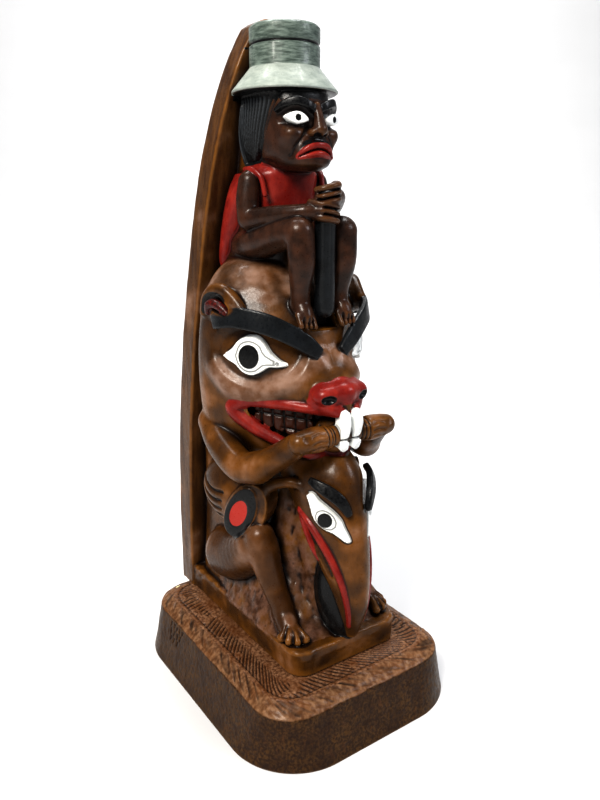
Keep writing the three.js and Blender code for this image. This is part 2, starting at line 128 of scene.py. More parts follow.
def window_light(name, place, aim, size, watts, colour):
    """A square soft light at `place`, pointed at `aim`, in metres."""
    light = bpy.data.lights.new(name, "AREA")
    light.size = size
    light.energy = watts
    light.color = linear(colour)[:3]
    lamp = bpy.data.objects.new(name, light)
    lamp.location = place
    lamp.rotation_mode = "QUATERNION"
    lamp.rotation_quaternion = (Vector(aim) - Vector(place)).to_track_quat("-Z", "Y")
    scene.collection.objects.link(lamp)


window_light("window", (-0.75, -0.35, 0.95), (0, 0, 0.13), 0.4, 15, "#fffaf2")
window_light("fill", (0.6, -0.7, 0.75), (0, 0, 0.15), 0.35, 4, "#f4f7ff")
window_light("backdrop", (0.3, 0.5, 1.8), (1.0, 1.4, 0.2), 1.2, 50, "#ffffff")


# ---------------------------------------------------------------- plinth
# The separate plinth under the pole: stained and lacquered, its flared sides left rough and dark, its bevel
# worn pale, and a band of slanted gouge cuts round the top inside one incised line.
MM = 0.001
plinth_lo, plinth_hi = (np.array(c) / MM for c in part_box("base"))
PLINTH_TOP = plinth_hi[2]
PLINTH_FOOT = (plinth_hi[0] - plinth_lo[0], plinth_hi[1] - plinth_lo[1], 33.0)
PLINTH_EDGE = (PLINTH_FOOT[0] - 14.0, PLINTH_FOOT[1] - 13.8, 18.5)
PLINTH_LAND = (PLINTH_EDGE[0] - 12.4, PLINTH_EDGE[1] - 14.0, 13.0)
GOUGE_PITCH = 3.3
SCRATCH_AT = 35.5
PALE_SPOT_AT = (-36.6, 57.4)
AROUND = 860


def rounded_plan(width, depth, corner, turns):
    """Points of a rounded rectangle at even steps of its length, and the outward directions there."""
    sx, sy = width / 2 - corner, depth / 2 - corner
    lengths = [2 * sy, corner * math.pi / 2, 2 * sx, corner * math.pi / 2] * 2
    ends = np.cumsum(lengths)
    s = turns * ends[-1]
    leg = np.searchsorted(ends, s, side="right").clip(0, 7)
    t = s - (ends[leg] - np.array(lengths)[leg])
    x, y, a = np.zeros_like(s), np.zeros_like(s), np.zeros_like(s)
    corners = [(sx, sy), (-sx, sy), (-sx, -sy), (sx, -sy)]
    starts = [(sx + corner, -sy), (sx, sy + corner), (-sx - corner, sy), (-sx, -sy - corner)]
    ways = [(0, 1), (-1, 0), (0, -1), (1, 0)]
    for k in range(4):
        on = leg == 2 * k
        x[on] = starts[k][0] + ways[k][0] * t[on]
        y[on] = starts[k][1] + ways[k][1] * t[on]
        a[on] = k * math.pi / 2
        on = leg == 2 * k + 1
        a[on] = k * math.pi / 2 + t[on] / corner
        x[on] = corners[k][0] + corner * np.cos(a[on])
        y[on] = corners[k][1] + corner * np.sin(a[on])
    return x, y, np.cos(a), np.sin(a)


def lattice_noise(coordinates, seed):
    """Smooth value noise, -1 to 1, at coordinates given as one array per axis, in cells."""
    rng = np.random.default_rng(seed)
    table = rng.random(4096).astype(np.float32) * 2 - 1
    low = [np.floor(c).astype(np.int64) for c in coordinates]
    part = [c - l for c, l in zip(coordinates, low)]
    part = [p * p * (3 - 2 * p) for p in part]
    total = 0
    for bits in range(1 << len(coordinates)):
        key, weight = 0, 1
        for axis, (l, p) in enumerate(zip(low, part)):
            bit = bits >> axis & 1
            key = key + (l + bit) * (73856093, 19349663, 83492791)[axis]
            weight = weight * (p if bit else 1 - p)
        total = total + table[np.bitwise_xor(key, key >> 13) & 4095] * weight
    return total


def scratches(x, y, z):
    """Three short rows of shallow scratched strokes high on the left side, in no alphabet."""
    depth = 0.0 * x
    for row in range(3):
        for k in range(5 - row):
            y0 = SCRATCH_AT - 3.2 * k - 1.4 * row + 0.5 * math.sin(5 * k + row)
            lean = 0.35 * math.sin(2.6 * k + 1.7 * row)
            away = np.abs(y - y0 - lean * (z - 20.4 + 3.3 * row)) / 0.55
            reach = abs(z - 20.4 + 3.3 * row) < 1.25
            depth = np.maximum(depth, reach * (x < -40) * 0.55 * np.exp(-away ** 2))
    return depth


def plinth_mesh():
    """The plinth as closed rings from the underside to the middle of its top, cut inwards only."""
    turns = np.arange(AROUND) / AROUND
    levels = []  # (share of the way between two plans, z, band, share of the band)
    plans = {"foot": PLINTH_FOOT, "edge": PLINTH_EDGE, "land": PLINTH_LAND}
    def between(a, b, k):
        return [p + (q - p) * k for p, q in zip(plans[a], plans[b])]
    for k in np.linspace(0, 1, 40):
        z = k * 23.0 if k < 1 else 22.6
        levels.append((between("foot", "edge", k), z, "side", k))
    for k in np.linspace(0.06, 1, 24):
        z = 23.0 + 2.6 * min(1, k / 0.45) + 1.4 * max(0, (k - 0.45) / 0.55)
        levels.append((between("edge", "land", k), z, "bevel", k))
    for k in np.linspace(0.02, 1, 46):
        inset = 24.0 * k
        w, d, c = PLINTH_LAND
        levels.append(([w - 2 * inset, d - 2 * inset, max(2.0, c - 0.4 * inset)], PLINTH_TOP, "top", inset))
    points, bands, gouges = [], [], []
    wobble = lattice_noise([turns * 60, turns * 0 + 3], 11) * 0.5
    for (w, d, c), z, band, k in levels:
        x, y, nx, ny = rounded_plan(w, d, c, turns)
        grit = lattice_noise([x / 1.5, y / 1.5, z / 1.5 + x * 0], 5)
        broad = lattice_noise([x / 7, y / 7, z / 7 + x * 0], 6)
        run = turns * 2 * (PLINTH_LAND[0] + PLINTH_LAND[1])
        into, drop = 0.0 * x, 0.0 * x
        if band == "side":
            into = (0.12 * (1 + grit) + 0.3 * (1 + broad) * k * (1 - k) * 2) * min(1, k * 6)
            into = into + scratches(x, y, z)
        if band == "bevel":
            blade = lattice_noise([(run + 8 * k) / 1.9, k * 1.6 + x * 0], 8)
            drop = (0.42 * (1 + blade) + 0.08 * (1 + grit)) * min(1, 4 * k)
            into = (0.4 + wobble) * max(0, 1 - k * 5) * 0.6
        if band == "top":
            slant = (run + 0.9 * k + 0.35 * broad) / GOUGE_PITCH
            saw = slant - np.floor(slant)
            hollow = np.minimum(saw / 0.75, (1 - saw) / 0.25)
            reach = 1 / (1 + math.exp((k - 10.5) * 2)) / (1 + math.exp((2.4 - k) * 3))
            outer = 1 / (1 + math.exp((k - 1.9) * 3))
            patch = 0.35 + 0.65 * (lattice_noise([x / 5, y / 5], 9) > -0.45)
            drop = 0.95 * reach * hollow * patch + 0.08 * (1 + grit) + 0.35 * outer * hollow
            drop = drop + 0.6 * math.exp(-((k - 2.2) / 0.42) ** 2)
        points.append(np.stack([x - nx * into, y - ny * into, z - drop], 1))
        gouges.append(np.clip(drop + 0 * x, 0, 2) if band != "side" else 2.2 * scratches(x, y, z))
        bands.append(np.full(AROUND, {"side": 0.0, "bevel": 1.0, "top": 2.0}[band] + min(1,
            k if band != "top" else k / 24) * 0.999))
    rings = len(points)
    verts = np.concatenate(points + [np.array([[0, 0, 0], [0, 0, PLINTH_TOP - 0.4]])])
    i = np.arange(AROUND)
    j = (i + 1) % AROUND
    faces = []
    for r in range(rings - 1):
        a = r * AROUND
        faces += np.stack([a + i, a + j, a + AROUND + j, a + AROUND + i], 1).tolist()
    hub, lid = rings * AROUND, rings * AROUND + 1
    faces += np.stack([np.full(AROUND, hub), j, i], 1).tolist()
    last = (rings - 1) * AROUND
    faces += np.stack([np.full(AROUND, lid), last + i, last + j], 1).tolist()
    band = np.concatenate(bands + [np.array([0.0, 3.0])])
    gouge = np.concatenate(gouges + [np.zeros(2)])
    verts[:, 0] += (plinth_lo[0] + plinth_hi[0]) / 2
    verts[:, 1] += (plinth_lo[1] + plinth_hi[1]) / 2
    return verts * MM, faces, band, gouge


verts, faces, band, gouge = plinth_mesh()
plinth = mesh_object("plinth", verts, faces)
plinth.data.attributes.new("band", "FLOAT", "POINT").data.foreach_set("value", band.astype(np.float32))
plinth.data.attributes.new("gouge", "FLOAT", "POINT").data.foreach_set("value", gouge.astype(np.float32))
# A small pale cream spot on the plinth's bevel edge near the back of the board.
from_pale_spot = verts[:, :2] / MM - np.array(PALE_SPOT_AT)
along, across = from_pale_spot @ (0.8, 0.6), from_pale_spot @ (-0.6, 0.8)
pale_spot = np.exp(-(along / 1.9) ** 2 - (across / 0.9) ** 2) * (verts[:, 2] > 24 * MM)
plinth.data.attributes.new("pale_spot", "FLOAT", "POINT").data.foreach_set("value", pale_spot.astype(np.float32))


def in_mm(tree):
    """Object coordinates in millimetres, for patterns of a known size."""
    place = put(tree, "TexCoord")
    return put(tree, "VectorMath", {0: place.outputs["Object"], 1: (1000, 1000, 1000)},
        operation="MULTIPLY").outputs[0]


def ramp(tree, value, low, high, to_low=0.0, to_high=1.0):
    """A value rescaled from low..high to to_low..to_high, clamped and eased."""
    return put(tree, "MapRange", {"Value": value, "From Min": low, "From Max": high, "To Min": to_low,
                                  "To Max": to_high}, interpolation_type="SMOOTHSTEP").outputs["Result"]


def mixed(tree, share, under, over, blend="MIX"):
    """Colour `over` laid on `under` by a share from 0 to 1; each is a hex colour or a socket."""
    def value(c):
        return linear(c) if isinstance(c, str) else c
    return put(tree, "MixRGB", {"Fac": share, "Color1": value(under), "Color2": value(over)},
               blend_type=blend).outputs["Color"]


def speckle(tree, place, size_mm, detail=3.0, roughness=0.55, stretch=None):
    """Noise whose blotches are about size_mm across."""
    if stretch:
        place = put(tree, "VectorMath", {0: place, 1: stretch}, operation="MULTIPLY").outputs[0]
    return put(tree, "TexNoise", {"Vector": place, "Scale": 1 / size_mm, "Detail": detail,
        "Roughness": roughness}).outputs["Fac"]


def math_node(tree, operation, a, b=0.0):
    return put(tree, "Math", {0: a, 1: b}, operation=operation).outputs[0]


# Stained and lacquered timber-look casting, wiped so that the dark stain stays in the cuts, which painted
# shade darkens further, with convex edges lightened as rubbed wear and painted highlight: brown-black sides,
# a rubbed pinkish bevel, and a satin to gloss coat.
finish, tree, shader = new_finish("plinth stained casting with painted shade under lacquer")
place = in_mm(tree)
band = put(tree, "Attribute", attribute_name="band").outputs["Fac"]
fine = speckle(tree, place, 1.2)
blotch = speckle(tree, place, 9.0)
streak = speckle(tree, place, 2.2, 2.0, 0.5, (1.0, 1.0, 0.25))
side = mixed(tree, ramp(tree, fine, 0.35, 0.7), "#2a1808", "#4e3518")
side = mixed(tree, ramp(tree, blotch, 0.35, 0.7, 0.0, 0.6), side, "#241209")
side = mixed(tree, ramp(tree, streak, 0.55, 0.8, 0.0, 0.4), side, "#553419")
rubbed = mixed(tree, ramp(tree, streak, 0.3, 0.75), "#52341c", "#7f6045")
rubbed = mixed(tree, ramp(tree, blotch, 0.4, 0.75, 0.0, 0.5), rubbed, "#6b421e")
bed = mixed(tree, ramp(tree, fine, 0.3, 0.7), "#462b19", "#87654a")
bed = mixed(tree, ramp(tree, blotch, 0.35, 0.65, 0.0, 0.6), bed, "#56300f")
edge_noise = math_node(tree, "ADD", band,
    math_node(tree, "MULTIPLY", math_node(tree, "SUBTRACT", blotch, 0.5), 0.2))
colour = mixed(tree, ramp(tree, edge_noise, 0.97, 1.03), side, rubbed)
colour = mixed(tree, ramp(tree, band, 1.93, 2.02), colour, bed)
cavity = put(tree, "NewGeometry").outputs["Pointiness"]
# Stain and painted shade: near black in the gouges and scratches, the deeper the darker.
colour = mixed(tree, ramp(tree, put(tree, "Attribute", attribute_name="gouge").outputs["Fac"], 0.38, 0.95,
    0.0, 0.9), colour, "#120803")
# Stain and painted shade: darker where the surface is concave.
colour = mixed(tree, ramp(tree, cavity, 0.49, 0.40, 0.0, 0.6), colour, "#1c0c06")
# Rubbed wear and painted highlight: paler tan where the surface is convex.
colour = mixed(tree, ramp(tree, cavity, 0.52, 0.6, 0.0, 0.5), colour, "#97714f")
# The small pale cream spot on the bevel edge.
pale_spot_share = put(tree, "Attribute", attribute_name="pale_spot").outputs["Fac"]
colour = mixed(tree, ramp(tree, pale_spot_share, 0.3, 0.6, 0.0, 0.9), colour, "#d9cf9c")
tree.links.new(colour, shader.inputs["Base Color"])
tree.links.new(ramp(tree, fine, 0.3, 0.7, 0.3, 0.55), shader.inputs["Roughness"])
shader.inputs["Specular IOR Level"].default_value = 0.15
shader.inputs["Coat Weight"].default_value = 0.08
shader.inputs["Coat Roughness"].default_value = 0.2
relief = put(tree, "Bump", {"Height": math_node(tree, "ADD", fine, streak), "Distance": 0.0002,
    "Strength": 0.7})
tree.links.new(relief.outputs["Normal"], shader.inputs["Normal"])
plinth.data.materials.append(finish)
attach(plinth, "root")
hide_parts("base")


# ---------------------------------------------------------------- the pole's block
# The pole is taken as one casting, so it is sculpted here as one solid: a block of cells that each
# hold the distance to the surface in millimetres, to which forms are joined and from which they are cut.
CELL = 0.5
FAR = 8.0
pole_lo, pole_hi = (np.array(c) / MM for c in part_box("pole"))
POLE_X = (pole_lo[0] + pole_hi[0]) / 2
FOOT = pole_lo[2]
TOP = pole_hi[2]
start = pole_lo - [POLE_X + 2, 2, 2]
shape = np.ceil((pole_hi - pole_lo + 4) / CELL).astype(int) + 1
clay = np.full(shape, FAR, np.float32)
paints = {}


def window(lo, hi):
    """First and last cell numbers, per axis, of a box in millimetres."""
    a = np.clip(np.floor((np.asarray(lo) - start) / CELL).astype(int), 0, shape)
    b = np.clip(np.ceil((np.asarray(hi) - start) / CELL).astype(int) + 1, 0, shape)
    return a, b


def cell_places(a, b):
    """Coordinates of the cells between two cell numbers, ready to broadcast."""
    x, y, z = (np.float32(start[k]) + np.float32(CELL) * np.arange(a[k], b[k],
        dtype=np.float32) for k in range(3))
    return x[:, None, None], y[None, :, None], z[None, None, :]


def measure(form, pad):
    """The cells that a form reaches, and its distance there. A form lists (low, high, distance)."""
    a, b = window(np.min([f[0] for f in form], 0) - pad, np.max([f[1] for f in form], 0) + pad)
    out = np.full(np.maximum(b - a, 0), FAR, np.float32)
    for lo, hi, distance in form:
        c, e = window(lo - pad, hi + pad)
        c, e = np.maximum(c, a), np.minimum(e, b)
        if (e > c).all():
            part = tuple(slice(*k) for k in zip(c - a, e - a))
            out[part] = np.minimum(out[part], distance(*cell_places(c, e)))
    return tuple(slice(*k) for k in zip(a, b)), out


def joined(a, b, soft):
    """Distance to two bodies joined with a fillet about `soft` wide."""
    if soft <= 0:
        return np.minimum(a, b)
    h = np.maximum(soft - np.abs(a - b), 0) / soft
    return np.minimum(a, b) - h * h * soft * 0.25


def add(form, soft=1.0):
    """Joins a form to the block with a fillet about `soft` wide."""
    cells, d = measure(form, soft + 1.5)
    clay[cells] = joined(clay[cells], d, soft)
    return form


def cut(form, soft=0.6):
    """Takes a form out of the block, its edge rounded over about `soft`."""
    cells, d = measure(form, soft + 1.5)
    clay[cells] = -joined(-clay[cells], d, soft)
    return form


def score(form, depth, width, power=1.0):
    """Sinks the surface by `depth` along a form, fading out `width` away; a negative depth raises it."""
    cells, d = measure(form, width)
    t = np.clip(1 - np.maximum(d, 0) / width, 0, 1)
    clay[cells] += (depth * (t * t * (3 - 2 * t)) ** power).astype(np.float32)
    return form


def roughen(form, depth, size, seed, soft=2.0, stretch=(1, 1, 1)):
    """Uneven tool marks of about `size` mm over the surface that lies in a form."""
    cells, d = measure(form, soft)
    a = [s.start for s in cells]
    b = [s.stop for s in cells]
    axes = [(start[k] + CELL * np.arange(a[k], b[k])) / (size * stretch[k]) for k in range(3)]
    low = [np.floor(c).astype(int) for c in axes]
    rng = np.random.default_rng(seed)
    table = rng.random([l[-1] - l[0] + 2 for l in low]).astype(np.float32) * 2 - 1
    for k in range(3):
        i = low[k] - low[k][0]
        t = (axes[k] - low[k]).astype(np.float32)
        t = t * t * (3 - 2 * t)
        t = t.reshape([-1 if m == k else 1 for m in range(3)])
        table = np.take(table, i, k) * (1 - t) + np.take(table, i + 1, k) * t
    clay[cells] += depth * table * np.clip(1 - d / soft, 0, 1)


def paint(colour, form, grow=0.4):
    """Remembers that the surface within `grow` mm of a form has a colour."""
    paints.setdefault(colour, []).append((form, grow))
    return form


def mirrored(form):
    def flip(distance):
        return lambda x, y, z: distance(-x, y, z)
    return [(np.array([-hi[0], lo[1], lo[2]]), np.array([-lo[0], hi[1], hi[2]]), flip(f)) for lo, hi,
        f in form]


def both(form):
    return form + mirrored(form)


def curve(points, per=5):
    """A smooth line through rows of numbers (Catmull-Rom), `per` steps for each span."""
    p = np.array(points, float)
    p = np.vstack([2 * p[0] - p[1], p, 2 * p[-1] - p[-2]])
    rows = []
    for k in range(1, len(p) - 2):
        for t in np.arange(per) / per:
            a, b, c, d = p[k - 1:k + 3]
            bend, twist = 2 * a - 5 * b + 4 * c - d, 3 * b - a - 3 * c + d
            rows.append(0.5 * (2 * b + (c - a) * t + bend * t * t + twist * t ** 3))
    return np.array(rows + [p[-2]])


def limb(joints, per=5):
    """A round limb through joints (x, y, z, radius)."""
    rows = curve(joints, per)
    form = []
    for p, q in zip(rows[:-1], rows[1:]):
        a, ra, ab, rb = p[:3], p[3], q[:3] - p[:3], q[3]
        size = float(ab @ ab) or 1e-9

        def distance(x, y, z, a=a, ab=ab, ra=ra, rb=rb, size=size):
            h = np.clip(((x - a[0]) * ab[0] + (y - a[1]) * ab[1] + (z - a[2]) * ab[2]) / size, 0, 1)
            gap = (x - a[0] - h * ab[0]) ** 2 + (y - a[1] - h * ab[1]) ** 2 + (z - a[2] - h * ab[2]) ** 2
            return (np.sqrt(gap) - (ra + (rb - ra) * h)).astype(np.float32)

        r = max(ra, rb)
        form.append((np.minimum(p[:3], q[:3]) - r, np.maximum(p[:3], q[:3]) + r, distance))
    return form


def strap(joints, facings, thick, per=5, corner=0.8):
    """A flat band through (x, y, z, half width), its broad face turned towards `facings`."""
    rows = curve(joints, per)
    share = np.linspace(0, len(facings) - 1, len(rows))
    faces = np.stack([np.interp(share, range(len(facings)),
        np.array(facings, float)[:, k]) for k in range(3)], 1)
    form = []
    for k in range(len(rows) - 1):
        p, q = rows[k], rows[k + 1]
        along = q[:3] - p[:3]
        length = np.linalg.norm(along) or 1e-9
        along = along / length
        side = np.cross(along, faces[k])
        side /= np.linalg.norm(side)
        out = np.cross(side, along)

        def distance(x, y, z, p=p, q=q, along=along, side=side, out=out, length=length):
            dx, dy, dz = x - p[0], y - p[1], z - p[2]
            t = dx * along[0] + dy * along[1] + dz * along[2]
            h = np.clip(t / length, 0, 1)
            s = np.abs(dx * side[0] + dy * side[1] + dz * side[2]) - (p[3] + (q[3] - p[3]) * h) + corner
            n = np.abs(dx * out[0] + dy * out[1] + dz * out[2]) - thick + corner
            e = np.maximum(t - length, -t)
            gap = np.sqrt(np.maximum(s, 0) ** 2 + np.maximum(n, 0) ** 2 + np.maximum(e, 0) ** 2)
            return (gap + np.minimum(np.maximum(s, n), 0) - corner).astype(np.float32)

        r = max(p[3], q[3], thick) * 1.2
        form.append((np.minimum(p[:3], q[:3]) - r, np.maximum(p[:3], q[:3]) + r, distance))
    return form


def ball(centre, radii, turn_z=0.0):
    """An egg shape turned about the vertical."""
    c, s = math.cos(math.radians(turn_z)), math.sin(math.radians(turn_z))
    rx, ry, rz = radii

    def distance(x, y, z):
        x, y, z = x - centre[0], y - centre[1], z - centre[2]
        u, v = x * c + y * s, y * c - x * s
        k = np.sqrt((u / rx) ** 2 + (v / ry) ** 2 + (z / rz) ** 2)
        g = np.sqrt((u / rx ** 2) ** 2 + (v / ry ** 2) ** 2 + (z / rz ** 2) ** 2)
        return (k * (k - 1) / np.maximum(g, 1e-6)).astype(np.float32)

    r = max(rx, ry)
    reach = np.array([r, r, rz])
    return [(np.array(centre) - reach, np.array(centre) + reach, distance)]


def stack(levels):
    """A body through oval levels (z, half width, front, middle, back, front squareness, back squareness)."""
    rows = curve(levels, 8)
    rows = rows[np.argsort(rows[:, 0])]
    low, high = rows[0, 0], rows[-1, 0]

    def distance(x, y, z):
        w, front, mid, back, e1, e2 = (np.interp(z, rows[:, 0],
            rows[:, k]).astype(np.float32) for k in range(1, 7))
        yy = y - mid
        depth = np.where(yy < 0, mid - front, back - mid)
        e = np.where(yy < 0, e1, e2)
        ax, ay = np.abs(x) / w + 1e-4, np.abs(yy) / depth + 1e-4
        px, py = ax ** e, ay ** e
        f = (px + py) ** (1 / e)
        g = f ** (1 - e) * np.sqrt((px / ax / w) ** 2 + (py / ay / depth) ** 2)
        d = (f - 1) / np.maximum(g, 0.01)
        return np.maximum(d, np.maximum(low - z, z - high)).astype(np.float32)

    w = rows[:, 1].max()
    return [(np.array([-w, rows[:, 2].min(), low]), np.array([w, rows[:, 4].max(), high]), distance)]


def sheet_axes(place, across, rise):
    """An oblique drawing plane: its origin, and its across, rise and outward directions."""
    u = np.array(across, float) / np.linalg.norm(across)
    w = np.cross(u, rise) / np.linalg.norm(np.cross(u, rise))
    return np.array(place, float), u, np.cross(w, u), w


def corner_box(plane, u, v, w):
    """The upright box round a box that lies along a plane."""
    place, across, rise, out = plane
    spots = np.array([place + i * across + j * rise + k * out for i in u for j in v for k in w])
    return spots.min(0), spots.max(0)


def outline_distance(u, v, outline):
    """Distance in a plane to a closed outline, negative inside."""
    best, inside = None, None
    for (ax, ay), (bx, by) in zip(outline, np.roll(outline, -1, 0)):
        ex, ey = bx - ax, by - ay
        h = np.clip(((u - ax) * ex + (v - ay) * ey) / (ex * ex + ey * ey + 1e-9), 0, 1)
        gap = (u - ax - h * ex) ** 2 + (v - ay - h * ey) ** 2
        best = gap if best is None else np.minimum(best, gap)
        if ay != by:
            crosses = ((ay > v) != (by > v)) & (u < ex * (v - ay) / ey + ax)
            inside = crosses if inside is None else inside ^ crosses
    return np.where(inside, -1, 1) * np.sqrt(best)


def plate(outline, plane, back, front, smooth=3, crown=0.0):
    """A flat piece cut to an outline (across, rise) in mm, from `back` to `front` of the plane."""
    o = np.array(outline, float)
    if smooth:
        o = curve(np.vstack([o, o[:1]]), smooth)[:-1]
    place, across, rise, out = plane
    spread = np.abs(o).max()

    def distance(x, y, z):
        dx, dy, dz = x - place[0], y - place[1], z - place[2]
        u, v, w = (dx * d[0] + dy * d[1] + dz * d[2] for d in (across, rise, out))
        d = outline_distance(u, v, o)
        top = w - front + crown * (u * u + v * v) / spread ** 2
        return np.maximum(d, np.maximum(back - w, top)).astype(np.float32)

    u, v = (o[:, 0].min(), o[:, 0].max()), (o[:, 1].min(), o[:, 1].max())
    return [(*corner_box(plane, u, v, (back, front)), distance)]


def stroke(points, plane, back=-6.0, front=6.0, per=4):
    """A line drawn on a plane and carried straight into whatever lies between `back` and `front`."""
    o = curve(points, per)
    place, across, rise, out = plane
    form = []
    for (ax, ay), (bx, by) in zip(o[:-1], o[1:]):
        ex, ey = bx - ax, by - ay

        def distance(x, y, z, ax=ax, ay=ay, ex=ex, ey=ey):
            dx, dy, dz = x - place[0], y - place[1], z - place[2]
            u, v, w = (dx * d[0] + dy * d[1] + dz * d[2] for d in (across, rise, out))
            h = np.clip(((u - ax) * ex + (v - ay) * ey) / (ex * ex + ey * ey + 1e-9), 0, 1)
            gap = np.sqrt((u - ax - h * ex) ** 2 + (v - ay - h * ey) ** 2)
            return np.where((w > back) & (w < front), gap, FAR).astype(np.float32)

        form.append((*corner_box(plane, (min(ax, bx), max(ax, bx)), (min(ay, by), max(ay, by)),
            (back, front)), distance))
    return form


def oval(a, b, lean=0.0, centre=(0, 0), n=24):
    t = np.arange(n) / n * 2 * math.pi
    c, s = math.cos(math.radians(lean)), math.sin(math.radians(lean))
    u, v = b * np.cos(t), a * np.sin(t)
    return np.stack([centre[0] + u * c - v * s, centre[1] + u * s + v * c], 1)


# ---------------------------------------------------------------- back board, core and foot block
# The tall board that the figures are cast against, arched at the top and leaning forward, the hidden mass
# between it and the figures, and the round-cornered block and rough ground under them.
BOARD_THICK = 13.0
BOARD_HALF = [(FOOT, 31), (70, 31.6), (125, 31.8), (168, 30.8), (205, 28.6), (224, 27.2), (240, 25.4),
    (254, 23.2),
              (266, 20.6), (276, 18.2), (285, 15.2), (292, 12.4), (298, 9.4), (302, 7.2), (TOP - 1, 4.6),
                  (TOP, 2.4)]


def board_front(z):
    lift = np.maximum(0, z - FOOT) / 272.7
    return 52.3 - 5.5 * lift - 52 * lift ** 2 + 22 * lift ** 3


def board():
    zs, halves = np.array(BOARD_HALF).T
    r = 1.2

    def distance(x, y, z):
        half, front = np.interp(z, zs, halves), board_front(z)
        s = np.abs(x) - half + r
        n = np.abs(y - front - BOARD_THICK / 2) - BOARD_THICK / 2 + r
        d = np.hypot(np.maximum(s, 0), np.maximum(n, 0)) + np.minimum(np.maximum(s, n), 0) - r
        return np.maximum(d, np.maximum(FOOT - z, z - TOP)).astype(np.float32)

    return [(np.array([-32, 14, FOOT]), np.array([32, 66, TOP]), distance)]


def block(half, front, back, low, high, corner, edge):
    def distance(x, y, z):
        mid, deep = (front + back) / 2, (back - front) / 2
        s, n = np.abs(x) - half + corner, np.abs(y - mid) - deep + corner
        plan = np.hypot(np.maximum(s, 0), np.maximum(n, 0)) + np.minimum(np.maximum(s, n), 0) - corner
        p, q = plan + edge, np.maximum(low - z, z - high + edge)
        d = np.hypot(np.maximum(p, 0), np.maximum(q, 0)) + np.minimum(np.maximum(p, q), 0) - edge
        return np.maximum(d, low - z).astype(np.float32)
    return [(np.array([-half, front, low]), np.array([half, back, high]), distance)]


def core_level(z, w, front, e):
    return (z, w, front, (front + board_front(z) + 4) / 2, board_front(z) + 4, e, e)


add(board(), 0)
add(stack([core_level(*row) for row in [(FOOT, 27, 0, 5), (70, 26, -4, 4), (105, 27, -8, 4), (130, 29, -8, 3),
                                         (190, 23, 4, 3), (215, 17, 6, 3), (245, 13, 3, 3),
                                             (280, 12, 3, 3)]]), 0.8)
foot_block = add(block(30, -47, 60, FOOT, FOOT + 12, 9, 1.6), 0.6)
roughen([(np.array([-31, -48, FOOT + 9.5]), np.array([31, 60, FOOT + 14]), foot_block[0][2])], 0.5, 3.2, 21)
ground = add(stack([(38, 30, -43, -2, 44, 4, 3), (41, 29, -40, -1, 44, 3.6, 3),
    (46, 26.5, -33.5, 2, 42, 3, 3), (54, 23, -27, 6, 40, 3, 3),
                    (64, 20, -22.5, 8, 40, 3, 3), (84, 17, -17, 10, 40, 3, 3), (104, 15, -12, 12, 40, 3, 3)]),
                        1.2)
ground += add(stack([(38, 12, -39, -24, -10, 2.4, 2.4), (44, 12, -38, -24, -10, 2.4, 2.4),
    (60, 10, -34, -22, -10, 2.2, 2.2),
                      (80, 10, -29, -19, -8, 2.2, 2.2), (96, 9, -22, -14, -4, 2.2, 2.2)]), 2.5)
roughen(ground, 0.7, 3.0, 22, stretch=(1, 1, 1.7))
roughen(ground, 0.32, 1.5, 23, stretch=(1, 1, 1.7))
paint("rough", ground, 1.2)
roughen([(np.array([-33, 14, FOOT]), np.array([33, 66, TOP]), board()[0][2])], 0.16, 2.2, 24,
    stretch=(1, 1, 3.5))
paint("board", board(), 0.4)


# ---------------------------------------------------------------- crouching legs
# Two bent human legs on either side of the bird's beak, cast with the rest, with four toes over the block's
# edge.
thigh = limb([[-22.4, 21, 60, 14.2], [-23.8, 9, 64, 12.6], [-25.4, -6, 75, 9.6]])
shin = limb([[-26.4, -11.5, 82, 7.0], [-25.4, -13, 75, 7.6], [-24.4, -14.6, 68, 6.8], [-22.8, -18.5, 57, 5.7],
    [-22.2, -23.5, 50, 5.1]])
foot = limb([[-22, -23, 46.6, 4.8], [-22.8, -27.6, 45.2, 5.2], [-23.6, -31, 43.4, 4.8]])
paint("leg", add(both(thigh), 2.0), 1.0)
paint("leg", add(both(shin), 2.0), 1.0)
paint("leg", add(both(foot), 2.2), 1.0)
# Rubbed wear and painted highlight: a pale instep on each foot.
paint("wear_and_highlight", both(ball((-23.6, -30.5, 48), (3.4, 5, 3))), 0.3)
TOES = [(-29.0, -33.2), (-27.6, -37), (-24.6, -39.6), (-20.8, -40.2)]
for x, y in TOES:
    toe = both(limb([[-23.4 + 0.45 * (x + 24.6), -30.4 + 0.3 * (y + 38), 44, 2.4],
        [x * 0.5 - 11.8, y * 0.5 - 16.2, 43.6, 2.4], [x, y, 41.6, 2.1]]))
    paint("leg", add(toe, 0.3), 0.8)
for (x, y), (p, q) in zip(TOES[:-1], TOES[1:]):
    x, y = (x + p) / 2, (y + q) / 2
    gap = both(limb([[x * 0.55 - 10.6, y * 0.55 - 14.4, 46.6, 0.2], [x, y, 44.4, 0.3],
        [x * 1.03, y * 1.03, 41.4, 0.4]]))
    score(gap, 1.0, 0.8)
    # Stain and painted shade in the slits between the toes.
    paint("stain_and_shade", gap, 0.45)


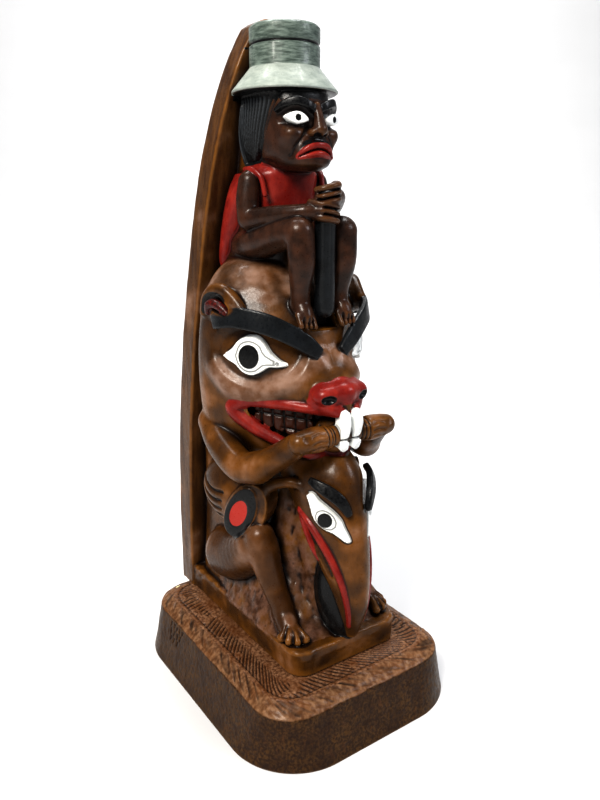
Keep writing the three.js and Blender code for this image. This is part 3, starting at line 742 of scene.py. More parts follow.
# ---------------------------------------------------------------- bird
# A long-beaked bird seen head down, its beak to the ground: brown upper beak with a soft middle ridge, red
# mouth line, black lower beak, white eyes, black brows, and wings with a painted joint disc.
beak = stack([(39.6, 2.6, -49.4, -45.7, -42, 2, 2), (45, 4.2, -52, -46, -40, 2, 2),
    (56, 6.8, -55.4, -44.5, -36, 1.9, 2),
              (67, 9, -56, -41.5, -32, 1.85, 2), (80, 11.6, -55, -36, -24, 1.8, 2),
                  (91, 13.6, -53.4, -31, -18, 1.8, 2),
              (101, 15, -51, -27, -8, 1.85, 2), (110, 15.4, -48.4, -24, 4, 1.9, 2),
                  (118, 14, -44.8, -20, 8, 2, 2),
              (126, 10, -38, -16, 8, 2, 2)])
lower_beak = limb([[0, -35.5, 75, 5], [0, -36, 67, 9.2], [0, -36.8, 57, 10.4], [0, -39.4, 47, 8.8],
    [0, -42.8, 40.6, 4.6]])
add(lower_beak, 0.8)
add(beak, 0.4)
mouth_line = [[-14, -27, 98, 1.7], [-13.4, -33.3, 93.6, 1.9], [-11.9, -40.3, 86.4, 1.9],
    [-9.9, -45.4, 78.4, 1.8],
              [-7.6, -49.2, 68.4, 1.5], [-5.4, -50.8, 56.6, 1.2], [-3.9, -49.8, 47, 0.8]]
throat_line = [[-14, -27, 98, 1.5], [-13.2, -28.4, 90.9, 1.3], [-11.6, -32, 82, 1.3],
    [-10.4, -35.4, 76.4, 0.9]]
cut(both(limb([[-14.6, -29, 95, 0.9], [-12.8, -34, 86, 2.6], [-11.2, -38.6, 79.4, 2.4],
    [-9.6, -43.4, 71, 1.2]])), 0.8)
paint("red", add(both(limb(mouth_line)), 0.5), 0.35)
paint("red", add(both(limb(throat_line)), 0.5), 0.3)
paint("black", lower_beak, 0.5)

bird_eye = sheet_axes((-10.6, -41.6, 98.8), (0.407, -0.611, -0.681), (0.365, -0.572, 0.731))
EYE = [(-13.2, 1.0), (-11.8, 3.0), (-8, 3.4), (-3.8, 4.3), (0.4, 5.0), (4.6, 4.9), (8.4, 3.4), (11.4, 2.4),
    (14.4, 0.9), (13, -0.8),
       (9.4, -1.2), (5.8, -2.2), (2.6, -3.8), (-1.4, -4.2), (-5.2, -3.2), (-8.6, -1.2)]
score(both(plate(EYE, bird_eye, -6, 6)), 0.8, 2.0)
eye = plate(EYE, bird_eye, -4, 2.7, crown=1.4)
paint("white", add(both(eye), 0.3), 0.3)
pupil = plate(oval(3.5, 3.2, centre=(0.1, 0.1)), bird_eye, -5, 5)
paint("black", score(both(pupil), -0.3, 0.6), 0.1)
paint("ring", both(plate(oval(5.0, 3.9, -80, (0.3, 0.4)), bird_eye, -5, 5)), 0.0)
brow_line = [[-15.3, -36.4, 115.4, 1.6], [-14, -40.8, 113.9, 2.4], [-10.9, -45.4, 111.3, 2.7],
    [-7.9, -48.6, 107.6, 2.5],
             [-5.4, -50.2, 102.3, 1.5]]
bird_brow = strap(brow_line, [(-0.8, -0.5, 0.4), (-0.5, -0.8, 0.4)], 1.5)
score(both(limb([[x, y, z, r + 0.2] for x, y, z, r in brow_line])), 0.6, 1.4)
paint("black", add(both(bird_brow), 0.3), 0.25)

wing = ball((-23, 14, 96), (14, 23, 17))
add(both(wing), 1.5)
arch = [[-26.6, -13.4, 103, 2.4], [-24.2, -16, 107.2, 2.6], [-20.8, -19.6, 110, 2.6],
    [-17, -24.2, 110.8, 2.4],
        [-13.6, -28.4, 109.4, 2.0]]
add(both(limb(arch)), 1.4)
disc_plane = sheet_axes((-29, -3.2, 93.4), (0.5, -0.86, -0.1), (0.06, -0.4, 0.9))
rim = plate(oval(17.6, 9.8, -22, (1.9, 0.2)), disc_plane, -8, 4.2, 0, 0.8)
add(both(rim), 1.2)
disc = plate(oval(15.4, 7.0, -22, (-0.2, 0.2)), disc_plane, -6, 8, 0)
score(both(disc), -0.9, 0.7)
paint("black", both(disc), 0.0)
heart = plate(oval(8.2, 4.0, -22, (-1.0, -0.2)), disc_plane, -6, 8, 0)
score(both(heart), 0.35, 0.7)
paint("blood", both(heart), 0.0)
side_plane = sheet_axes((-30, 0, 0), (0, 1, 0), (0, 0, 1))
feathers = []
for k in range(5):
    z = 101 - 4.4 * k
    feathers += stroke([(32 - 1.5 * k, z + 2.4), (24, z - 0.6), (15, z - 2.2), (6.4 + k, z - 1.4)],
        side_plane, -8, 14)
score(both(feathers), 1.3, 1.4)
# Stain and painted shade in the feather grooves.
paint("stain_and_shade", both(feathers), 0.5)


# ---------------------------------------------------------------- beaver
# The wide beaver head on the bird, with black strap brows, dished eye sockets, arched ears, a red-lipped
# mouth full of block teeth, and two paws that hold a ringed stick against the white incisors.
HEAD = [(113, 23, -18, 14, 35, 1.6, 2.2), (122, 30, -35, 14, 40, 1.35, 2.2),
    (134, 36.6, -40, 14, 40, 1.25, 2.2),
        (147, 38.4, -43, 14, 39, 1.25, 2.2), (153, 38.8, -42.2, 14, 38, 1.3, 2.2),
            (160, 39, -35, 14, 37, 1.6, 2.2),
        (168, 38.8, -28.4, 14, 36, 1.9, 2.2), (178, 37.8, -24.6, 14, 35, 1.9, 2.2),
            (187, 36.4, -20, 14, 34, 1.8, 2.2),
        (195, 33, -13.6, 14, 32, 1.9, 2.2), (202, 27, -5, 14, 31, 2, 2.2), (206.2, 19, 0.6, 14, 29, 2, 2.2),
            (208, 9, 6, 14, 26, 2, 2.2)]
skull = stack(HEAD)
add(skull, 1.5)
cheek = both(limb([[-34, 7, 160, 4.6], [-32, 1.6, 154, 4.8], [-27.6, -5, 151.4, 5.0], [-23, -12, 152.4, 5.0],
                   [-17.6, -19.4, 155.2, 4.6], [-11.6, -24.6, 159.4, 4.2], [-5.6, -26.4, 164, 4.0]]))
add(cheek, 5.0)
# Rubbed wear and painted highlight along the cheek ridge.
paint("wear_and_highlight", cheek, 2.6)
eye_plane = sheet_axes((-28.2, -11.6, 166.6), (0.66, -0.75, -0.06), (0, 0, 1))
score(both(plate(oval(10, 17, 0, (1.5, 1)), eye_plane, -9, 9)), 2.2, 6.0)
EYE = [(-13.4, -0.6), (-9.4, 2.7), (-6.6, 6.6), (-2.6, 8.8), (1.8, 8.8), (5.1, 6.2), (7.9, 2.6), (11.9, -0.4),
       (15.2, -1.9), (11.1, -3.1), (7.3, -3.4), (4.1, -5.7), (0.2, -7.6), (-4.0, -6.6), (-7.4, -3.6),
           (-10.8, -2.2)]
paint("white", add(both(plate(EYE, eye_plane, -6, 2.6, crown=2.4)), 0.3), 0.35)
pupil = plate(oval(5.1, 4.5, centre=(-1.2, 0.5)), eye_plane, -6, 6)
paint("black", score(both(pupil), -0.35, 0.7), 0.1)
paint("ring", both(plate([(-7.2, 0.2), (-5.4, 5.2), (-1.2, 7), (3.2, 5.4), (5.6, 1.6), (12.4, -1.8),
    (5.4, -2.4), (2.2, -5.2),
                          (-1.6, -6), (-5.2, -4)], eye_plane, -6, 6)), 0.0)

BROW = [[-38.2, 3.4, 180.4, 3.0], [-37.8, -0.8, 182.2, 3.9], [-35.6, -6.8, 183.6, 4.3],
    [-31.4, -14.1, 183.2, 4.4],
        [-26.4, -19.9, 181.6, 4.4], [-21.1, -23.4, 178.9, 4.3], [-15.3, -26.5, 175.4, 4.1],
            [-10.9, -28.2, 172.2, 3.8],
        [-6.6, -29.3, 168.6, 2.8]]
brow = strap(BROW, [(-0.96, -0.2, 0.15), (-0.9, -0.4, 0.15), (-0.7, -0.7, 0.2), (-0.45, -0.85, 0.25),
    (-0.35, -0.9, 0.2)], 1.3, corner=0.8)
paint("satin", add(both(brow), 0.4), 0.3)

ear_outer = [[-37.2, 14, 183.4, 2.2], [-37.4, 11.6, 189.6, 2.3], [-36.8, 6.2, 194, 2.5],
    [-35.2, 0, 194.4, 2.5],
             [-33.4, -5, 191.2, 2.4], [-32.2, -9.6, 187.4, 2.1]]
add(both(ball((-33, 3, 186.6), (6, 12, 8))), 2.0)
add(both(limb(ear_outer)), 1.0)
hollow = both(limb([[-39.4, 9.2, 184.6, 2.2], [-39.8, 6.4, 188.4, 3.0], [-38.8, 1.6, 188.8, 3.1],
    [-36.6, -4.2, 186.2, 2.2]]))
cut(hollow, 0.6)
paint("black", both(limb([[-38.8, 11.4, 184.6, 1.1], [-39, 9, 189.6, 1.2], [-38, 3.4, 191.6, 1.2],
    [-36, -2.4, 189.8, 1.1], [-34.4, -7.4, 186, 1.0]])), 0.7)
# Stain and painted shade in the ear's hollow.
paint("stain_and_shade", hollow, 0.5)
red_arch = both(limb([[-38.6, 8.4, 184.2, 1.4], [-39.2, 6.0, 187.6, 1.9], [-38.5, 2.2, 188.6, 2.0],
    [-37.2, -1.8, 187, 1.9],
                      [-36, -5, 184.6, 1.4]]))
paint("blood", add(red_arch, 0.4), 0.3)

mouth_plane = sheet_axes((0, -30, 132), (1, 0, 0), (0, 0, 1))
mouth_hole = plate([(-29, 12), (0, 12.4), (29, 12), (27, 6), (24, 2.6), (12, -6.4), (0, -8), (-12, -6.4),
    (-24, 2.6), (-27, 6)],
                   mouth_plane, -30, 40, 2)
inner = stack([(z, w - 7, front + 9, 14, back, e, 2.2) for z, w, front, mid, back, e, eb in HEAD[1:6]])
hole = [(mouth_hole[0][0], mouth_hole[0][1], lambda x, y,
    z: np.maximum(mouth_hole[0][2](x, y, z), -inner[0][2](x, y, z)))]
cut(hole, 0.6)
lip = limb([[-3, -42.4, 144.6, 2.0], [-12, -31.6, 145.8, 2.4], [-20, -19.4, 146.6, 2.6],
    [-27, -7, 146.2, 2.9],
            [-31, 0.6, 142, 3.8], [-27, -5.8, 135.4, 3.4], [-20, -15.6, 129.4, 2.7], [-12, -26.4, 125, 2.6],
                [0, -35.6, 123.6, 2.8]])
paint("red", add(both(lip), 0.8), 0.5)
teeth = both(plate([(-15, -2.5), (12, -10), (12, 7), (-15, 7)],
    sheet_axes((-14.4, -17.4, 138.6), (0.6, -0.8, 0), (0, 0, 1)), -4, 2.2, 0))
add(teeth, 0.3)
teeth_plane = sheet_axes((-14.4, -17.4, 138.6), (0.6, -0.8, 0), (0, 0, 1))
gaps = stroke([(-15, 2.2), (12, 0.2)], teeth_plane, -5, 3, 1) + stroke([(-2, -4.2), (12, -5.4)], teeth_plane,
    -5, 3, 1)
for k in range(5):
    gaps += stroke([(-11.2 + 5.2 * k, -7), (-12 + 5.2 * k, 7)], teeth_plane, -5, 3, 1)
score(both(gaps), 1.0, 1.0)
# Stain and painted shade in the gaps between the teeth.
paint("stain_and_shade", both(gaps), 0.35)
paint("teeth", teeth, 0.4)
add(ball((0, -32, 133), (9, 9, 9)), 1.0)

paint("red", add(ball((0, -38.2, 153.2), (7.0, 5.8, 4.8)), 2.0), 1.4)
paint("red", add(ball((-8, -36, 151.8), (5.8, 5.4, 4.7), -32), 2.6), 1.2)
paint("red", add(ball((8, -36, 151.8), (5.8, 5.4, 4.7), 32), 2.6), 1.2)
score(both(limb([[-3.6, -43.4, 157.6, 0.4], [-4.4, -44.2, 150.6, 0.4]])), 0.45, 2.0)
nostril = both(ball((-9.2, -41.2, 150.8), (3.3, 2.4, 1.9), -35))
cut(nostril, 0.5)
paint("black", nostril, 0.4)
paint("red", add(both(limb([[-12.6, -31.6, 149.4, 1.2], [-9.6, -36.6, 146.8, 1.6], [-4.4, -41, 146.4, 1.8]])),
    1.6), 0.4)

upper_arm = limb([[-31, 22, 130, 7], [-34, 8, 123.5, 7.2], [-33.6, -8, 117.2, 7.2],
    [-30.6, -17.4, 118.6, 6.8]])
forearm = limb([[-30.6, -17.4, 118.6, 6.6], [-25.6, -27, 125.6, 5.8], [-22.2, -34.4, 131.8, 5.4]])
STICK_Y, STICK_Z = -39.0, 134.6
fist = limb([[-20.4, STICK_Y, STICK_Z, 5.0], [-15, STICK_Y, STICK_Z, 5.6], [-10.6, STICK_Y, STICK_Z, 5.2]])
add(both(upper_arm), 2.0)
add(both(forearm), 2.5)
add(both(fist), 1.5)
add(limb([[-19, STICK_Y, STICK_Z, 4.3], [19, STICK_Y, STICK_Z, 4.3]], 1), 0.6)
add(both(limb([[-23.2, STICK_Y, STICK_Z, 4.6], [-19.4, STICK_Y, STICK_Z, 4.9]], 1)), 0.8)
front_plane = sheet_axes((0, STICK_Y, STICK_Z), (1, 0, 0), (0, 0, 1))
rings = []
for x in (7.6, 9.4, 11.4):
    rings += stroke([(x, -7), (x - 0.3, 0), (x, 7)], front_plane, -8, 9, 2)
score(both(rings), 0.8, 0.8)
# Stain and painted shade in the stick's ring grooves.
paint("stain_and_shade", both(rings), 0.3)
knuckles = []
for z in (-2.6, 0.2, 3.0):
    knuckles += stroke([(12.8, z), (16, z + 0.5), (19.4, z - 0.4)], front_plane, 0, 9, 3)
score(both(knuckles), 0.6, 0.9)
score(both(limb([[-24.6, STICK_Y - 1, STICK_Z + 1, 0.6], [-21.4, STICK_Y - 4, STICK_Z + 2, 0.6]])), 0.5, 1.4)

for side in (-1, 1):
    upper = plate([(-1.6, -6.2), (1.6, -6.2), (1.9, -3), (1.9, 4), (1.2, 5.8), (-1.2, 5.8), (-1.9, 4),
        (-1.9, -3)],
                  sheet_axes((side * 2.9, -41.6, 140.4), (1, 0.12 * side, 0), (0, -0.06, 1)), -3, 4.4, 2, 1.6)
    lower = plate([(-1.8, -3.0), (0, -4.2), (1.8, -3.0), (1.8, 0.8), (-1.8, 0.8)],
                  sheet_axes((side * 3.0, -41, 132.6), (1, 0.12 * side, 0), (0, -0.25, 1)), -3, 4.2, 0, 0.8)
    paint("white", add(upper, 0.2), 0.3)
    paint("white", add(lower, 0.2), 0.3)
# Stain and painted shade in the gap between the incisors.
paint("stain_and_shade", stroke([(0, -2), (0, 12)], front_plane, 2, 9, 1), 0.5)


# ---------------------------------------------------------------- man
# A man squats on the beaver's forehead: dark glossy skin, a stylised mask-like face with big white eyes,
# black hair in combed strands, a red tunic with a cape down his back, and both hands round a black staff.
add(stack([(150, 9, -18, 1, 20, 2, 2), (190, 9, -15.5, 2, 20, 2, 2), (206, 8, -8, 8, 24, 2, 2),
    (214, 8, -2, 11, 24, 2, 2)]), 1.0)
add(stack([(205, 14, -2, 16, 34, 2.6, 2.6), (216, 14.4, -2.8, 14.5, 32, 2.6, 2.6)]), 1.0)
tunic = stack([(214, 14.6, -3, 14.8, 32, 2.6, 2.6), (219, 14.5, -3.4, 14.2, 31, 2.6, 2.6),
    (226, 14, -4, 12.5, 29, 2.5, 2.5),
               (236, 15.6, -4.6, 11, 27, 2.5, 2.5), (242, 16, -4.6, 10.5, 25, 2.4, 2.4),
                   (246.4, 11.6, -3, 10.5, 23, 2.2, 2.2)])
paint("red", add(tunic, 0.6), 0.5)
cape = stack([(197, 17.6, 26, 30, 34, 3, 3), (204, 21, 23.6, 28, 33, 3, 3), (212, 21.4, 20.6, 26, 32, 3, 3),
    (220, 21, 17.4, 24, 31, 3, 3),
              (228, 20.4, 14.4, 21, 30, 3, 3), (236, 19.4, 10.6, 17, 28, 3, 3),
                  (242, 17.4, 7.4, 14, 26, 3, 3)])
paint("red", add(cape, 0.6), 0.5)
add(stack([(240, 12, -4, 9, 22, 2, 2), (251, 11.5, -6, 7, 20, 2, 2)]), 1.0)
armhole = both(limb([[-17.2, 10.4, 243.6, 1.1], [-17.4, 4.6, 243.4, 1.2], [-15.8, 0, 240.2, 1.2],
    [-14.8, -1.6, 233, 1.1]]))
paint("red", add(armhole, 0.8), 0.4)
chest = plate([(-2.4, 3), (2.4, 3), (3.4, -7), (-3.4, -7)], sheet_axes((0, -5, 235.6), (1, 0, 0), (0, 0, 1)),
    -5, 4, 0)
paint("skin", chest, 0.0)
# Dark lines along the tunic's opening and collar, as stain and painted shade.
paint("stain_and_shade", both(limb([[-2.4, -8, 239, 0.3], [-3.4, -8, 229, 0.3]])), 0.3)
paint("stain_and_shade", both(limb([[-11.8, 6, 247.4, 0.5], [-11.4, -3, 246.6, 0.5], [-7.6, -6.8, 243.4, 0.5],
    [-2.6, -7.2, 239.6, 0.5]])), 0.4)

jaw = stack([(242.4, 6.6, -16, -4, 8, 2.2, 2.2), (244.6, 10.2, -19.8, -4, 12, 2.4, 2.4),
    (249, 12.8, -19.6, -2, 16, 2.6, 2.6),
             (255, 14.2, -18.4, 0, 18, 2.6, 2.6), (261, 15, -16.6, 1, 19, 2.4, 2.4),
                 (266.6, 15, -17.0, 0, 19, 2.4, 2.4),
             (271, 14.6, -15.4, 1, 19, 2.3, 2.3), (275.4, 13.6, -13.4, 1, 19, 2.3, 2.3)])
paint("skin", add(jaw, 1.2), 1.5)
paint("skin", add(both(ball((-9, -12.6, 256.4), (4.6, 5, 4.2))), 2.5), 1.2)
nose_ridge = limb([[0, -17.8, 267.4, 1.5], [0, -19.4, 262.4, 2.0], [0, -20.6, 258.2, 2.9]])
paint("skin", add(nose_ridge, 1.2), 0.8)
paint("skin", add(both(ball((-2.9, -19, 257.2), (2.0, 2.4, 1.7))), 1.0), 0.8)
nostrils = both(ball((-1.9, -21.2, 255.7), (1.1, 1.3, 0.7)))
score(nostrils, 0.6, 0.7)
paint("black", nostrils, 0.5)
# A black band under the nose: a painted moustache together with painted shade under the nose.
paint("black", limb([[-6.4, -17.4, 251.8, 0.5], [-3.4, -20, 254.2, 0.8], [0, -21, 254.6, 0.8],
    [3.4, -20, 254.2, 0.8], [6.4, -17.4, 251.8, 0.5]]), 0.6)
man_eye = sheet_axes((-8.3, -16.9, 262.4), (0.95, -0.31, 0), (0, 0, 1))
ALMOND = [(-5.8, 0.6), (-3.9, 1.6), (-1.6, 2.4), (0.9, 2.2), (2.9, 1.0), (4.5, -0.8), (2.2, -1.7),
    (-0.4, -2.2), (-3.0, -1.4), (-4.8, -0.3)]
score(both(plate(oval(3.6, 6, 0, (-0.4, 0.4)), man_eye, -5, 5)), 0.7, 1.6)
paint("white", add(both(plate(ALMOND, man_eye, -4, 1.3, crown=1.2)), 0.25), 0.15)
paint("black", both(plate(oval(1.4, 1.3, centre=(-0.3, 0.1)), man_eye, -4, 4)), 0.0)
man_brow = both(strap([[-1.2, -17.8, 265.8, 1.3], [-4.6, -18.2, 267.6, 1.6], [-8.8, -16.6, 268.8, 1.6],
    [-12.4, -12.8, 267.8, 1.3],
                       [-14.2, -9.4, 265.4, 0.8]], [(0, -1, 0.2), (-0.5, -0.85, 0.2), (-0.9, -0.4, 0.2)], 1.2,
                           corner=0.5))
paint("black", add(man_brow, 0.4), 0.25)
face_plane = sheet_axes((0, -18, 255), (1, 0, 0), (0, 0, 1))
fold = stroke([(-3.6, 4.4), (-5.6, 1.8), (-8.6, -2.4), (-10, -7)], face_plane, -8, 8)
score(both(fold), 0.8, 1.2)
# Stain and painted shade in the folds from nose to mouth.
paint("stain_and_shade", both(fold), 0.25)
lips = limb([[-8.6, -16.8, 247.8, 0.7], [-4.6, -19.2, 251.2, 1.5], [0, -20.0, 252.3, 1.7],
    [4.6, -19.2, 251.2, 1.5], [8.6, -16.8, 247.8, 0.7]])
under = limb([[-8.4, -16.8, 247.4, 0.6], [-4.2, -19.0, 248.6, 1.3], [0, -19.8, 249.2, 1.5],
    [4.2, -19.0, 248.6, 1.3], [8.4, -16.8, 247.4, 0.6]])
paint("red", add(lips, 0.5), 0.3)
paint("red", add(under, 0.3), 0.3)
mouth_slit = stroke([(-8.2, -7.2), (-4, -5.1), (0, -4.2), (4, -5.1), (8.2, -7.2)], face_plane, -6, 8)
score(mouth_slit, 0.7, 0.8)
# Stain and painted shade in the mouth's slit.
paint("stain_and_shade", mouth_slit, 0.2)

HAIR = [(245.6, 13, 9, 14.5, 20, 4, 4), (251, 15.0, 3.0, 13, 22, 4, 4), (259, 16.4, -2.0, 11, 22, 4, 4),
    (268.6, 16.4, -8.6, 8, 21, 3.4, 4),
        (275.8, 15.8, -14.4, 4, 21, 2.8, 4)]
hair = stack(HAIR)
paint("hair", add(hair, 0.3), 0.4)
hair_plane = sheet_axes((-13, 0, 0), (0, 1, 0), (0, 0, 1))
strands = []
for k in range(12):
    y = -9.5 + 2.4 * k
    strands += stroke([(y + 1, 272.4), (y + 2.6 - 0.26 * k, 268), (y + 9 - 0.8 * k, 257),
        (y + 17 - 1.55 * k, 246.5)], hair_plane, -4, 8)
score(both(strands), 1.5, 1.3, 1.3)
paint("black", both(strands), 0.35)
paint("black", stack([(270.6, 14.4, -15.6, 0, 16, 2.3, 2.3), (272, 14, -15, 0, 16, 2.3, 2.3)]), 0.6)

upper = limb([[-17.4, 6.4, 238.2, 5], [-18.8, 6, 231, 5], [-19.4, 5, 223.2, 4.7]])
add(both(upper), 0.8)
paint("skin", both(upper), 0.5)
right = limb([[-19.2, 4.4, 222.8, 4.5], [-15.4, -8.6, 224.8, 3.9], [-9.8, -20, 226.2, 3.2],
    [-4, -24, 226.4, 3.4]])
left = limb([[19.2, 4.4, 223.6, 4.5], [15.8, -8.4, 228, 3.9], [10, -19.6, 232, 3.2], [4, -23.6, 233, 3.4]])
paint("skin", add(right, 1.0), 0.5)
paint("skin", add(left, 1.0), 0.5)
STAFF_Y = -24.0
staff = limb([[0, STAFF_Y, 187, 4.5], [0, STAFF_Y, 231.5, 4.5]], 1)
cut([(np.array([-5, -30, 180]), np.array([5, -18, 186.6]), lambda x, y,
    z: (z - 186.4 + 0 * x + 0 * y).astype(np.float32))], 0)
add(staff, 0.4)
paint("staff", staff, 0.3)
for z, s in ((226.2, -1), (233.4, 1)):
    for i, k in enumerate((-2.7, 0, 2.7)):
        finger = limb([[s * 6.2, STAFF_Y + 1.4, z - k + 0.9, 1.7],
            [s * 3.8, STAFF_Y - 3.4, z - k + 0.6, 1.75], [s * 0.2, STAFF_Y - 5.1, z - k, 1.6],
                       [-s * 3.4, STAFF_Y - 3.7, z - k - 0.8, 1.45],
                           [-s * (4.6 - 0.4 * i), STAFF_Y - 0.6, z - k - 1.2, 1.3]])
        paint("skin", add(finger, 0.25), 0.3)
    for k in (-1.35, 1.35):
        slot_cut = stroke([(-s * 5.2, z - k - 1.2), (0, z - k), (s * 3.6, z - k + 0.7)],
            sheet_axes((0, STAFF_Y, 0), (1, 0, 0), (0, 0, 1)), 1.5, 9, 1)
        score(slot_cut, 0.9, 0.9)
        # Stain and painted shade between the fingers.
        paint("stain_and_shade", slot_cut, 0.3)
    paint("skin", add(limb([[s * 4.6, STAFF_Y - 1.6, z + 3.0, 1.5], [s * 1.2, STAFF_Y - 4.2, z + 3.4, 1.4]]),
        0.5), 0.3)

thigh = limb([[-12.4, 18, 210.8, 7.4], [-13.6, 5, 213.4, 7.6], [-12.4, -10, 217, 7],
    [-11.2, -20.6, 218.4, 6.2]])
shin = limb([[-11.2, -22, 218, 6.0], [-10.8, -22.8, 206, 5.6], [-10.2, -21, 195, 4.3],
    [-10, -20.8, 190, 4.2]])
foot = limb([[-10, -18, 188.4, 3.4], [-10.2, -23, 186.4, 3.8], [-10.4, -25.4, 183.6, 3.1]])
paint("skin", add(both(thigh), 1.0), 0.5)
paint("skin", add(both(shin), 1.2), 0.5)
paint("skin", add(both(foot), 1.0), 0.4)
for i, x in enumerate((-13.4, -11.3, -9.2, -7.1)):
    toe = both(limb([[x, -24, 185, 1.4], [x * 1.02, -27 - i * 0.25, 180.6 - i * 0.3, 1.2]]))
    paint("skin", add(toe, 0.3), 0.3)
toe_plane = sheet_axes((-10.3, -26, 183), (1, 0, 0), (0, -0.5, 0.85))
slots = []
for x in (-2.05, 0, 2.05):
    slots += stroke([(x, 1.6), (x * 1.1, -4.4)], toe_plane, -3, 4, 1)
score(both(slots), 0.8, 0.7)
# Stain and painted shade between the man's toes.
paint("stain_and_shade", both(slots), 0.35)
crown_of_head = [(np.array([-34, -24, 187]), np.array([34, 16, 209]), lambda x, y,
    z: np.maximum(skull[0][2](x, y, z), 189 - z))]
roughen(crown_of_head, 0.35, 2.8, 31, stretch=(1.6, 1, 1))
# Worn pale: the scraped crown of the beaver's head.
paint("wear_and_highlight", crown_of_head, 1.0)

HAT_Y, CROWN, BRIM, BRIM_Z, JOINT, GROOVE, HAT_TOP = 5.2, 14.9, 22.7, 274.6, 283.3, 292.6, 300.0


def turned(profile, y0):
    """A round body about a vertical line, from its profile of (radius, z)."""
    o = np.array(profile, float)

    def distance(x, y, z):
        r = np.sqrt(x * x + (y - y0) ** 2)
        return outline_distance(r, z + 0 * r, o).astype(np.float32)

    r = o[:, 0].max()
    return [(np.array([-r, y0 - r, o[:, 1].min()]), np.array([r, y0 + r, o[:, 1].max()]), distance)]


hat = turned([(-9, BRIM_Z - 2.2), (BRIM - 1.4, BRIM_Z - 1.2), (BRIM, BRIM_Z - 0.3), (BRIM, BRIM_Z),
    (CROWN + 0.4, JOINT), (CROWN, JOINT + 0.5),
              (CROWN, GROOVE - 0.8), (CROWN - 1.0, GROOVE - 0.2), (CROWN - 1.0, GROOVE + 0.2),
                  (CROWN, GROOVE + 0.8),
              (CROWN, HAT_TOP - 1.2), (CROWN - 1.2, HAT_TOP), (-9, HAT_TOP)], HAT_Y)
add(hat, 0)
paint("sage", turned([(-9, JOINT + 0.5), (CROWN, JOINT + 0.5), (CROWN, HAT_TOP), (-9, HAT_TOP)], HAT_Y), 0.4)
paint("mint", turned([(-9, BRIM_Z - 0.3), (BRIM, BRIM_Z - 0.3), (BRIM, BRIM_Z), (CROWN + 0.4, JOINT),
    (-9, JOINT)], HAT_Y), 0.4)
paint("black", turned([(-9, BRIM_Z - 3), (BRIM, BRIM_Z - 3), (BRIM, BRIM_Z - 0.9), (-9, BRIM_Z - 0.9)],
    HAT_Y), 0.2)
paint("black", turned([(13.4, GROOVE - 0.45), (18, GROOVE - 0.45), (18, GROOVE + 0.45),
    (13.4, GROOVE + 0.45)], HAT_Y), 0.0)


# ---------------------------------------------------------------- skin of the casting
# The sculpted block turned into one closed surface, thinned where it is flat, with each painted area kept
# as a distance from its edge so that brush lines stay sharp.
np.clip(clay, -3, 3, out=clay)
clay[:, :, :2] = 3
grid = openvdb.FloatGrid(3.0)
grid.copyFromArray(clay, tolerance=0.0)
points, triangles, quads = grid.convertToPolygons(isovalue=0.0, adaptivity=0.0)
points = points * CELL + start
corners = quads.astype(np.int64)
mesh = bpy.data.meshes.new("carved_pole")
mesh.vertices.add(len(points))
mesh.vertices.foreach_set("co", points.astype(np.float32).ravel())
mesh.loops.add(corners.size)
mesh.loops.foreach_set("vertex_index", corners.ravel())
mesh.polygons.add(len(corners))
mesh.polygons.foreach_set("loop_start", np.arange(len(corners)) * 4)
mesh.polygons.foreach_set("loop_total", np.full(len(corners), 4))
mesh.update(calc_edges=True)
pole = bpy.data.objects.new("carved_pole", mesh)
scene.collection.objects.link(pole)
TRIANGLES = 192000
if 2 * len(corners) > TRIANGLES:
    thin = pole.modifiers.new("thin", "DECIMATE")
    thin.ratio = TRIANGLES / (2 * len(corners))
    evaluated = pole.evaluated_get(bpy.context.evaluated_depsgraph_get())
    mesh = bpy.data.meshes.new_from_object(evaluated)
    pole.modifiers.clear()
    pole.data = mesh
co = np.empty(len(mesh.vertices) * 3, np.float32)
mesh.vertices.foreach_get("co", co)
co = co.reshape(-1, 3)


def sample(field, where):
    """Values of a block field at places in millimetres."""
    g = (where - start) / CELL
    low = np.clip(np.floor(g).astype(int), 0, np.array(field.shape) - 2)
    t = np.clip(g - low, 0, 1)
    total = 0
    for i in (0, 1):
        for j in (0, 1):
            for k in (0, 1):
                share = (t[:, 0] if i else 1 - t[:, 0]) * (t[:, 1] if j else 1 - t[:, 1]) * (t[:,
                    2] if k else 1 - t[:, 2])
                total = total + share * field[low[:, 0] + i, low[:, 1] + j, low[:, 2] + k]
    return total


def averaged(field, reach):
    """Each cell's mean over a cube `reach` mm to each side."""
    n = max(1, int(round(reach / CELL)))
    for axis in range(3):
        padded = np.concatenate([np.repeat(np.take(field, [0], axis), n + 1, axis), field,
                                 np.repeat(np.take(field, [-1], axis), n, axis)], axis)
        total = np.cumsum(padded, axis, dtype=np.float32)
        size = field.shape[axis]
        field = (np.take(total, range(2 * n + 1, 2 * n + 1 + size), axis) - np.take(total, range(size),
            axis)) / (2 * n + 1)
    return field


lean = np.stack([sample(clay, co + step) - sample(clay, co - step) for step in np.eye(3) * CELL * 0.9], 1)
lean /= np.maximum(np.linalg.norm(lean, axis=1, keepdims=True), 1e-6)
# How far each place lies in a hollow, at a fine and a broad size: the shader darkens hollows from these as
# stain and painted shade, and lightens ridges as rubbed wear and painted highlight.
filled = np.clip(0.5 - clay / CELL, 0, 1)
fine_recess = sample(averaged(filled, 1.6), co) - 0.5
broad_recess = sample(averaged(filled, 6.0), co) - 0.5


def touch(form, where):
    """Distance from places in millimetres to a form, up to 3 mm."""
    out = np.full(len(where), 3.0, np.float32)
    for lo, hi, distance in form:
        near = ((where > lo - 3) & (where < hi + 3)).all(1)
        if near.any():
            x, y, z = where[near].T
            out[near] = np.minimum(out[near], distance(x, y, z))
    return out


def keep(name, values):
    mesh.attributes.new(name, "FLOAT", "POINT").data.foreach_set("value", values.astype(np.float32))


